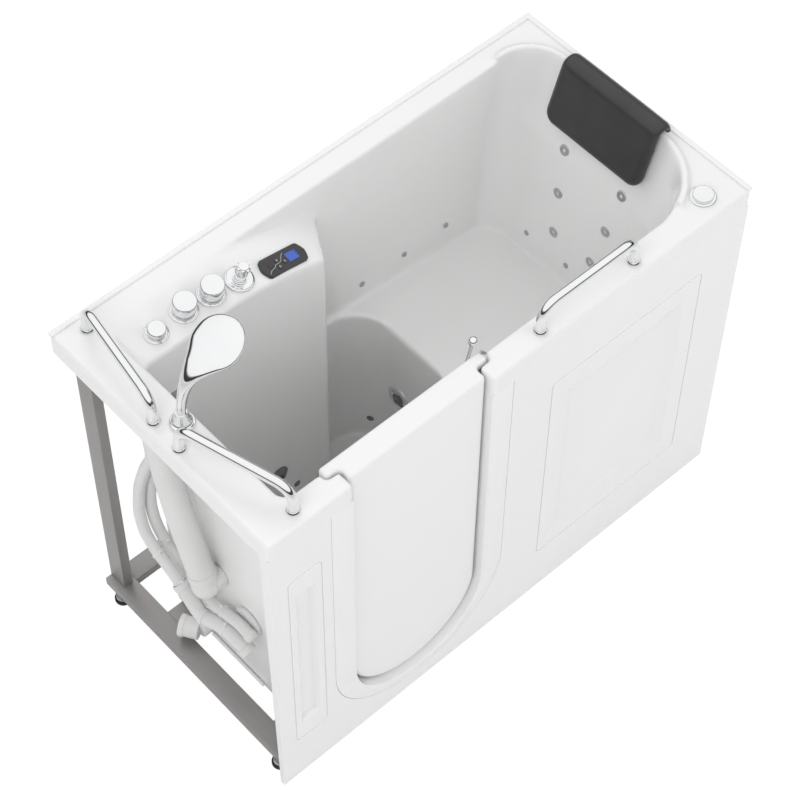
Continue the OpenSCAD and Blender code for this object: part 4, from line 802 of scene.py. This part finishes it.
def makeDoor():
    outline, middle, low = leafOutline(), doorWay["middle"], doorWay["arcHeight"]
    top, edge = leaf["top"], leaf["topEdge"]
    crown = []
    for angle in range(90, -1, -18):
        c, s = cos(radians(angle)), sin(radians(angle))
        crown.append((inset(outline, edge * (1 - c)), top - edge + edge * s))
    rings = [[at(middle - h, y, z) for h, y in points] for points, z in crown]
    for angle in range(0, 181, 4):
        c, s = cos(radians(angle)), sin(radians(angle))
        rings.append([at(middle - h * c, y, low - h * s) for h, y in outline])
    rings += [[at(middle + h, y, z) for h, y in points] for points, z in crown[::-1]]
    bm = lofted(rings, False)
    welded(bm, limits["weld"])
    bmesh.ops.dissolve_degenerate(bm, edges=bm.edges, dist=limits["fineWeld"])
    bmesh.ops.holes_fill(bm, edges=[e for e in bm.edges if len(e.link_faces) == 1])
    sliced(bm, at(0, 0, leaf["bottom"]), Vector((0, 0, -1)))
    print("door open edges", sum(1 for e in bm.edges if len(e.link_faces) != 2))
    keep(bm, "doorLeaf", "door", "acrylic", ("door_outer", "door_inner"), leaf["crease"])
    seal = cast("door_seal", leaf["sealEdge"])
    sliced(seal, at(0, 0, leaf["sealTop"]), Vector((0, 0, 1)))
    keep(seal, "doorSeal", "door", "greyRubber", ("door_seal",), turnOut=False)


makeDoor()
dressed("front_skirt", "tub", "acrylic", 0.3, crease=12)
dressed("door_frame", "tub", "acrylic", 4.0, 4)
print("skirt and door dressed")

# steel frame, feet, hinges, latch, pump and valves
for steelNode, finish in (("rail_left", "steelY"), ("rail_back", "steelX"), ("inner_rails", "steelX"),
                          ("post_back_left", "steelZ"), ("hidden_posts", "steelZ")):
    dressed(steelNode, "tub", finish, 1.5, 3)
dressed("foot_stems", "tub", "satin", 0.8)
dressed("foot_pads", "tub", "blackRubber", 1.0)
for steelNode in ("hinge_upper_fixed_leaf", "hinge_lower_fixed_leaf", "hinge_upper_pin", "hinge_lower_pin",
                  "latch_keeper"):
    dressed(steelNode, "tub", "satin", 0.5)
for steelNode in ("hinge_upper_door_leaf", "hinge_lower_door_leaf", "latch_pivot"):
    dressed(steelNode, "door", "satin", 0.5)
dressed("latch_hook", "latch", "satin", 0.5)
dressed("pump", "tub", "darkPlastic", 2.0, 3)
dressed("valve_body", "tub", "brass", 1.0)
print("frame dressed")

# grab bars
bars = {
    "left_back": [(0.0494, 0.9364), (0.0175, 0.547)],
    "left_front": [(0.0155, 0.4242), (0.0693, 0.0485)],
    "front": [(0.556, 0.0406), (0.7557, 0.0406)],
    "radius": 10.5,
    "height": 70,
    "bend": 36,
    "bendSteps": 16,
    "clear": 0.4,
    "flange": [(12, 8), (14.9, 4), (15, 0)],
    "flangeHole": 10.6,
    "flangeEdge": 2.4,
}


def makeBars():
    seats = bmesh.new()
    rise, bend, steps = bars["height"] / 1000, bars["bend"] / 1000, bars["bendSteps"]
    for key in ("left_back", "left_front", "front"):
        start, end = share(*bars[key][0]), share(*bars[key][1])
        along, up = (end - start).normalized(), Vector((0, 0, 1))
        clear = up * bars["clear"] / 1000
        way = [start + clear]
        for foot, inward in ((start, along), (end, -along)):
            corner = []
            for i in range(steps + 1):
                t = radians(90 * i / steps)
                corner.append(foot + up * (rise - bend) + inward * (bend - bend * cos(t))
                              + up * bend * sin(t))
            way += corner if foot is start else corner[::-1]
        way.append(end + clear)
        node = "grab_bar_" + key
        keep(tube(way, bars["radius"], 12), camel(node), "tub", "chrome", (node,))
        hole, thick = bars["flangeHole"], bars["flange"][0][1]
        for foot in (start, end):
            flange = turned(soften([(hole, thick)] + bars["flange"] + [(hole, 0)], bars["flangeEdge"], 5))
            addTo(seats, flange, moveTo(foot))
    keep(seats, "grabBarSeats", "tub", "chrome", ("grab_bar_flanges",))


makeBars()
print("grab bars bent")

# knobs and their cover rings on the sloping ledge, and the ribbed grip of one of them
knobs = {
    "air_knob": {"spot": (0.1259, 0.385), "radius": 20, "height": 16, "cover": 26, "dish": 0.5},
    "flow_knob": {"spot": (0.1838, 0.45), "radius": 25.5, "height": 34, "cover": 31, "dish": 0.8},
    "diverter_knob": {"spot": (0.2355, 0.413), "radius": 25.5, "height": 34, "cover": 31, "dish": 0.8},
    "thermostat_knob": {"spot": (0.2873, 0.349), "cover": 31},
}
knobParts = {
    "coverHeight": 6,
    "coverHole": 6.1,
    "coverRim": [(4, 0), (3.2, 1.2), (0.6, 2.2), (0, 4)],
    "coverEdge": 1.4,
    "gap": 0.4,
    "dishEdge": 5,
    "topEdge": 2.6,
    "shoulder": 3,
    "foot": 2,
    "footIn": 1.4,
    "edge": 2.2,
    "spindle": 6,
    "spindleDepth": 34,
}
grip = {
    "outline": [(0, 46), (10.8, 46), (12, 44), (12, 23.92), (13.5, 22.08), (13.5, 13.8), (11.7, 11.96),
                (11.7, 0), (0, 0)],
    "edge": 1.6,
    "neck": [(12, 6), (16, 6), (16, 0.4), (12, 0.4)],
    "neckEdge": 0.8,
    "ribs": 8,
    "ribLow": 25.3,
    "ribHigh": 44.5,
    "ribRadius": 3,
    "ribOut": 12.6,
}


def onLedge(spot, lift=0.0):
    x = spot[0] * tub["length"]
    flat, radius = basin["ledgeFlat"], basin["ledgeRadius"]
    turn = asin((x - flat) / radius) if x > flat else 0.0
    drop = basin["ledgeDepth"] * (1 - spot[1]) / cos(radians(basin["ledgeFall"]))
    pivot = moveTo(at(0, edges["back"], tub["height"]))
    slide = Vector((x, -drop, radius * (cos(turn) - 1))) / 1000
    return (pivot @ Matrix.Rotation(radians(basin["ledgeFall"]), 4, "X") @ moveTo(slide)
            @ Matrix.Rotation(turn, 4, "Y") @ moveTo((0, 0, lift / 1000)))


def makeGrip():
    body = turned(soften(grip["outline"], grip["edge"]))
    for i in range(grip["ribs"]):
        rib = tube([Vector((0, 0, z / 1000)) for z in (grip["ribLow"], grip["ribHigh"])], grip["ribRadius"])
        turn = Matrix.Rotation(2 * pi * i / grip["ribs"], 4, "Z")
        addTo(body, rib, turn @ moveTo((grip["ribOut"] / 1000, 0, 0)))
    addTo(body, turned(soften(grip["neck"], grip["neckEdge"]), 48))
    return body


def makeKnobs():
    covers = bmesh.new()
    rise, gap, hole = knobParts["coverHeight"], knobParts["gap"], knobParts["coverHole"]
    spindle, low = knobParts["spindle"], -rise - gap - knobParts["spindleDepth"]
    for node, size in knobs.items():
        cover = size["cover"]
        rim = [(cover - h, rise - drop) for h, drop in knobParts["coverRim"]]
        outline = [(hole, rise)] + rim + [(cover, 0), (hole, 0)]
        addTo(covers, turned(soften(outline, knobParts["coverEdge"]), 72), onLedge(size["spot"]))
        if node == "thermostat_knob":
            body = makeGrip()
        else:
            radius, height = size["radius"], size["height"]
            dish = height - size["dish"]
            lip, top, shoulder = (knobParts[k] for k in ("dishEdge", "topEdge", "shoulder"))
            outline = [(0, dish), (radius - lip, dish), (radius - top, height), (radius, height - shoulder),
                       (radius, knobParts["foot"]), (radius - knobParts["footIn"], 0), (0, 0)]
            body = turned(soften(outline, knobParts["edge"]), 80)
        addTo(body, turned([(0, 1), (spindle, 1), (spindle, low), (0, low)], 32))
        body.transform(onLedge(size["spot"], rise + gap))
        keep(body, camel(node), node + "_body", "chrome", (node,))
    keep(covers, "knobCovers", "tub", "chrome", ("knob_covers",))


makeKnobs()
print("knobs turned")

# hand shower and its holder
shower = {
    "spot": (0.0479, 0.488),
    "tilt": 33,
    "reach": 104,
    "lift": 156,
    "radius": 57,
    "spine": [(0, -24, 8.9, 8.9), (0, 20, 8.9, 8.9), (0.1, 36, 8.9, 8.9), (1, 48, 9.3, 9.3), (3, 62, 10, 10),
              (6, 77, 10.8, 10.6), (10, 92, 12, 11.2), (16, 108, 14.4, 11.8), (24, 122, 18.5, 12.2),
              (34, 133, 24, 12.4), (46, 141, 31.5, 12.4)],
    "chord": [-36, -28, -19, -9, 2, 13, 24, 34, 42, 48, 52.4, 55.2, 56.6],
    "edge": 6,
    "dome": 19,
    "domePower": 1.4,
    "hump": 9,
    "humpFrom": -5,
    "humpRun": 31,
    "square": 0.16,
    "swept": 9,
    "sides": 56,
    "crease": 50,
    "plate": [(0, -6.2), (45.6, -6), (49.02, -4.2), (49.02, -1), (0, -1)],
    "plateEdge": 1.2,
    "nozzle": [(0, -8), (1.1, -8), (1.8, -6), (1.8, -5)],
    "nozzleEdge": 0.4,
    "nozzleRings": [(12, 6), (24, 12), (36, 18)],
    "cup": [(9.06, 36), (12.6, 36), (14.5, 24), (18, 10), (20.5, 6.8), (25, 5.6), (26, 2.4), (26, 0),
            (14, 0), (14, -40), (4.5, -40), (4.5, -24.2), (9.06, -24.2), (9.06, 36)],
    "cupEdge": 1.6,
}


def showerRing(centre, along, halfWidth, half, power):
    up = Vector((-along.z, 0, along.x))
    ring = []
    for i in range(shower["sides"]):
        t = 2 * pi * i / shower["sides"]
        c, s = cos(t), sin(t)
        ring.append(centre + Vector((0, 1, 0)) * halfWidth * copysign(abs(c) ** power, c) / 1000
                    + up * half * copysign(abs(s) ** power, s) / 1000)
    return ring


def makeShower():
    base = share(*shower["spot"])
    tilt = radians(shower["tilt"])
    chord = Vector((cos(tilt), 0, sin(tilt)))
    back = Vector((-sin(tilt), 0, cos(tilt)))
    centre = base + Vector((shower["reach"], 0, shower["lift"])) / 1000
    radius = shower["radius"]
    stations = []
    for x, z, halfWidth, half in shower["spine"]:
        stations.append((base + Vector((x, 0, z)) / 1000, halfWidth, half, 1.0))
    for s in shower["chord"]:
        halfWidth = sqrt(radius ** 2 - s ** 2)
        half = (shower["edge"] + shower["dome"] * (halfWidth / radius) ** shower["domePower"]) / 2
        entry = min(max((shower["humpFrom"] - s) / shower["humpRun"], 0), 1)
        lift = half + shower["hump"] * entry
        power = 1 - shower["square"] * (1 - entry)
        stations.append((centre + (chord * s + back * lift) / 1000, halfWidth, half, power))
    rings = []
    last = len(stations) - 1
    for i, (place, halfWidth, half, power) in enumerate(stations):
        before, after = stations[max(i - 1, 0)][0], stations[min(i + 1, last)][0]
        along = chord if i > last + 1 - shower["swept"] else (after - before).normalized()
        rings.append(showerRing(place, along, halfWidth, half, power))
    keep(lofted(rings), "handShower", "hand_shower", "chrome", ("hand_shower_body",),
         shower["crease"])
    plate = turned(soften(shower["plate"], shower["plateEdge"]), 72)
    for reach, count in shower["nozzleRings"]:
        for i in range(count):
            turn = 2 * pi * i / count
            nozzle = turned(soften(shower["nozzle"], shower["nozzleEdge"], 2), 10)
            spot = Vector((cos(turn), sin(turn), 0)) * reach / 1000
            addTo(plate, nozzle, moveTo(spot))
    frameTurn = Matrix((chord, Vector((0, 1, 0)), back)).transposed().to_4x4()
    plate.transform(moveTo(centre) @ frameTurn)
    keep(plate, "sprayPlate", "hand_shower", "greyPlastic", ("hand_shower_face",))
    cup = turned(soften(shower["cup"], shower["cupEdge"]), 72)
    cup.transform(moveTo(base))
    keep(cup, "showerHolder", "tub", "chrome", ("shower_holder",))


makeShower()
print("hand shower shaped")

# fittings that keep their solids' shapes, with small edges eased
for node, body, slot, finish, edge in (
        ("drain_dial", "drain_dial_body", "chrome", "chrome", 0.8),
        ("drain_dial_base", "tub", "chrome", "chrome", 0.8),
        ("drain_flange", "tub", "chrome", "chrome", 0.6),
        ("drain_stopper", "drain_stopper_body", "chrome", "chrome", 0.8),
        ("filler_spout", "tub", "grey_plastic", "greyPlastic", 1.2),
        ("back_jets", "tub", "chrome", "satin", 0.4),
        ("air_jets", "tub", "grey_plastic", "paleGrey", 0.3),
        ("well_jets", "tub", "grey_plastic", "greyPlastic", 0.3),
        ("foot_jet_ring", "tub", "chrome", "chrome", 0.6),
        ("foot_jet_nozzle", "foot_jet_nozzle_body", "grey_plastic", "greyPlastic", 0.6),
        ("suction_cover", "tub", "grey_plastic", "greyPlastic", 0.5),
        ("latch_lever", "latch", "chrome", "chrome", 0.4),
        ("keypad_screen", "tub", "screen", "screenGlass", 0.3)):
    dressed(node, body, finish, edge)
for node in ("key_one", "key_two", "key_three", "key_four"):
    dressed(node, node + "_body", "darkPlastic", 0.5)
print("fittings dressed")

# keypad: a bowed case with wells for its screen and keys, and marks on top
keypad = {
    "spot": (0.369, 0.238),
    "length": 120,
    "width": 46,
    "corner": 9,
    "bow": 5,
    "bowShare": 0.7,
    "low": -4,
    "rise": 5,
    "edge": 1.2,
    "crease": 30,
    "screen": (24, 14.2, 10.7),
    "screenFloor": 3.5,
    "keyRadius": 5.3,
    "keyFloor": 1.4,
    "keyTop": 6.4,
    "keys": {"one": (-36, 0.92), "two": (-15.6, 5.52), "three": (-18.6, -10.12), "four": (0, -3.68)},
    "wave": [(-50, -16), (-42, -10), (-29, -6), (-23, -2), (-8, 0), (0, 9), (8, 15)],
    "waveRadius": 0.55,
    "markLow": -0.3,
    "markHigh": 0.15,
    "ringIn": 2.2,
    "ringOut": 3.1,
    "dot": 0.9,
    "petal": 0.7,
    "petals": 5,
    "petalOut": 2.4,
}


def makeCase():
    halfWidth, corner, bow = keypad["width"] / 2, keypad["corner"], keypad["bow"]
    half, straight, top = keypad["length"] / 2 - bow, halfWidth - corner, keypad["rise"]
    side = keypad["bowShare"] * straight
    end = (arc((half - corner, -straight), corner, -90, -12)
           + [(half + bow * (1 - (y / straight) ** 2), y) for y in (-side, 0, side)]
           + arc((half - corner, straight), corner, 12, 90))
    bm = prism(end + [(-x, -y) for x, y in end], keypad["low"], top)
    rim = [e for e in bm.edges if all(v.co.z > top / 1000 - 1e-5 for v in e.verts)]
    eased(bm, rim, keypad["edge"], 3, True)
    x, across, down = keypad["screen"]
    wells = [prism([(x - across, -down), (x + across, -down), (x + across, down), (x - across, down)],
                   keypad["screenFloor"], 2 * top)]
    for spot in keypad["keys"].values():
        wells.append(prism(arc(spot, keypad["keyRadius"], 0, 348, 29), keypad["keyFloor"], 2 * top))
    bm = carved(rough(bm, "case"), [(rough(well, "well"), "DIFFERENCE") for well in wells])
    bm.transform(onLedge(keypad["spot"]) @ moveTo(-at(0, 0, 0)))
    keep(bm, "keypadCase", "tub", "darkPlastic", ("keypad_case",), keypad["crease"])


def disc(radius, steps):
    low, high = keypad["markLow"], keypad["markHigh"]
    return turned([(0, low), (radius, low), (radius, high), (0, high)], steps)


def makeMarks():
    deck = onLedge(keypad["spot"], keypad["rise"])
    way = flowing([Vector((x, y, 0)) / 1000 for x, y in keypad["wave"]], 8)
    wave = tube([deck @ point for point in way], keypad["waveRadius"], 3)
    keep(wave, "keypadWave", "tub", "paleMark")
    low, high, near, far = (keypad[k] for k in ("markLow", "markHigh", "ringIn", "ringOut"))
    for name, (x, y) in keypad["keys"].items():
        if name == "one":
            mark = turned([(near, low), (near, high), (far, high), (far, low), (near, low)], 32)
        else:
            mark = disc(keypad["dot"], 16)
            for i in range(keypad["petals"]):
                turn = 2 * pi * i / keypad["petals"]
                spot = Vector((cos(turn), sin(turn), 0)) * keypad["petalOut"] / 1000
                addTo(mark, disc(keypad["petal"], 12), moveTo(spot))
        top = onLedge(keypad["spot"], keypad["keyTop"])
        mark.transform(top @ moveTo((x / 1000, y / 1000, 0)))
        keep(mark, "key" + name.capitalize() + "Mark", "key_" + name + "_body",
             "redMark" if name == "one" else "paleMark")


makeCase()
makeMarks()
print("keypad made")

# headrest: one soft moulded pad
pad = {
    # middle of the padding, out from the rim's inner edge and up from the deck
    "spine": [(23.5, 8), (24, 20), (18, 29.5), (6, 32.5), (-7, 28), (-14.5, 11), (-26, -25), (-39, -65),
              (-54, -112)],
    "halves": [(0, 6.5), (0.12, 8), (0.26, 12), (1, 13.6)],
    "middle": 0.531,
    "length": 280,
    "corner": 30,
    "hookCorner": 9,
    "edge": 15,
    "crown": 2.6,
    "columns": 64,
    "rows": 60,
    "weld": 2e-5,
    "crease": 180,
}


def padHalf(portion):
    for (a, low), (b, high) in zip(pad["halves"], pad["halves"][1:]):
        if portion <= b:
            return low + (high - low) * (portion - a) / (b - a)
    return pad["halves"][-1][1]


def makeHeadrest():
    spine = flowing([at(edges["head"] + out, tub["width"] * pad["middle"], tub["height"] + up)
                     for out, up in pad["spine"]], 12)
    runs = [0]
    for before, after in zip(spine, spine[1:]):
        runs.append(runs[-1] + (after - before).length * 1000)
    total, last = runs[-1], len(spine) - 1
    tangents = [(spine[min(i + 1, last)] - spine[max(i - 1, 0)]).normalized() for i in range(last + 1)]

    def onSpine(run):
        i = min(max(sum(r <= run for r in runs) - 1, 0), last - 1)
        t = (run - runs[i]) / (runs[i + 1] - runs[i])
        along = tangents[i].lerp(tangents[i + 1], t).normalized()
        return spine[i].lerp(spine[i + 1], t), Vector((along.z, 0, -along.x))

    halfLength = pad["length"] / 2
    bm = bmesh.new()
    front, back = [], []
    for j in range(pad["columns"] + 1):
        across = halfLength * sin(pi * (j / pad["columns"] - 0.5))
        cuts = []
        for corner in (pad["hookCorner"], pad["corner"]):
            past = max(abs(across) - (halfLength - corner), 0)
            cuts.append(corner - sqrt(max(corner ** 2 - past ** 2, 0)))
        fore, rear = [], []
        for i in range(pad["rows"] + 1):
            run = cuts[0] + (total - cuts[0] - cuts[1]) * (1 - cos(pi * i / pad["rows"])) / 2
            corner = pad["corner"] if run > total / 2 else pad["hookCorner"]
            pastEnd = abs(run - total / 2) - (total / 2 - corner)
            pastSide = abs(across) - (halfLength - corner)
            inside = corner - hypot(max(pastEnd, 0), max(pastSide, 0)) - min(max(pastEnd, pastSide), 0)
            swell = sqrt(max(1 - (1 - min(max(inside, 0) / pad["edge"], 1)) ** 2, 0))
            place, away = onSpine(run)
            half = padHalf(run / total) * swell
            crown = pad["crown"] * (1 - (across / halfLength) ** 4) * sin(pi * run / total) * swell
            place = place + Vector((0, across / 1000, 0))
            fore.append(bm.verts.new(place + away * (half + crown) / 1000))
            rear.append(bm.verts.new(place - away * half / 1000))
        front.append(fore)
        back.append(rear)
    for sheet, flip in ((front, False), (back, True)):
        for before, after in zip(sheet, sheet[1:]):
            for i in range(pad["rows"]):
                corners = (before[i], before[i + 1], after[i + 1], after[i])
                bm.faces.new(corners[::-1] if flip else corners)
    welded(bm, pad["weld"])
    piece = keep(bm, "headrestPad", "tub", "foam", ("headrest",), pad["crease"])


makeHeadrest()
print("headrest padded")

# floor, world and lamps
studio = {
    "floor": 0.93,
    "glow": 0.92,
    "glowPower": 1.06,
    "world": 0.7,
    "glossyWorld": 1.06,
    "floorRough": 0.9,
    "floorSize": 30,
    "skyStops": [(0.0, 0.85), (0.5, 0.8), (0.53, 0.03), (0.65, 0.06), (0.71, 0.95), (1.0, 1.0)],
    "lamps": [((-2.4, -1.2, 3.2), (0, 0, 0.6), 2.2, 31), ((1.8, -2.4, 2.6), (0, 0, 0.5), 2.4, 20),
              ((0.4, 2.4, 3.4), (0, 0, 0.7), 2.4, 24)],
}


def makeStudio():
    bm = bmesh.new()
    bmesh.ops.create_grid(bm, x_segments=1, y_segments=1, size=studio["floorSize"])
    floor = rough(bm, "floor")
    material = bpy.data.materials.new("floorPaint")
    material.use_nodes = True
    tree = material.node_tree
    sheet = Sheet(tree)
    shader = tree.nodes["Principled BSDF"]
    shader.inputs["Base Color"].default_value = (studio["floor"],) * 3 + (1,)
    shader.inputs["Roughness"].default_value = studio["floorRough"]
    glow = sheet.node("ShaderNodeEmission", {}, {"Color": (1, 1, 1, 1), "Strength": studio["glowPower"]})
    path = sheet.node("ShaderNodeLightPath", output="Is Camera Ray")
    mixed = sheet.node("ShaderNodeMixShader", {}, {
        0: studio["glow"] * path, 1: Wire(sheet, shader.outputs[0]), 2: glow})
    sheet.plug(tree.nodes["Material Output"].inputs["Surface"], mixed)
    floor.data.materials.append(material)
    world = bpy.data.worlds.new("room")
    world.use_nodes = True
    scene.world = world
    ground = world.node_tree.nodes["Background"]
    sky = Sheet(world.node_tree)
    toward = sky.node("ShaderNodeTexCoord", output="Generated")
    height = sky.node("ShaderNodeSeparateXYZ", {}, {0: toward}, 2)
    ramp = world.node_tree.nodes.new("ShaderNodeValToRGB")
    stops = ramp.color_ramp.elements
    while len(stops) < len(studio["skyStops"]):
        stops.new(0.5)
    for stop, (place, level) in zip(stops, studio["skyStops"]):
        stop.position = place
        stop.color = (level, level, level, 1)
    sky.plug(ramp.inputs[0], 0.5 + 0.5 * height)
    glossy = sky.node("ShaderNodeLightPath", output="Is Glossy Ray")
    sky.plug(ground.inputs["Color"], sky.blend(glossy, (1, 1, 1, 1), Wire(sky, ramp.outputs[0])))
    extra = (studio["glossyWorld"] - studio["world"]) * glossy
    sky.plug(ground.inputs["Strength"], studio["world"] + extra)
    for i, (place, aim, size, power) in enumerate(studio["lamps"]):
        data = bpy.data.lights.new("lamp" + str(i), "AREA")
        data.size = size
        data.energy = power
        lamp = newObject("lamp" + str(i), data)
        lamp.visible_glossy = False
        lamp.location = place
        lamp.rotation_euler = (Vector(place) - Vector(aim)).to_track_quat("Z", "Y").to_euler()
    scene.view_settings.view_transform = "Standard"


makeStudio()
print("studio lit")

bpy.context.view_layer.update()
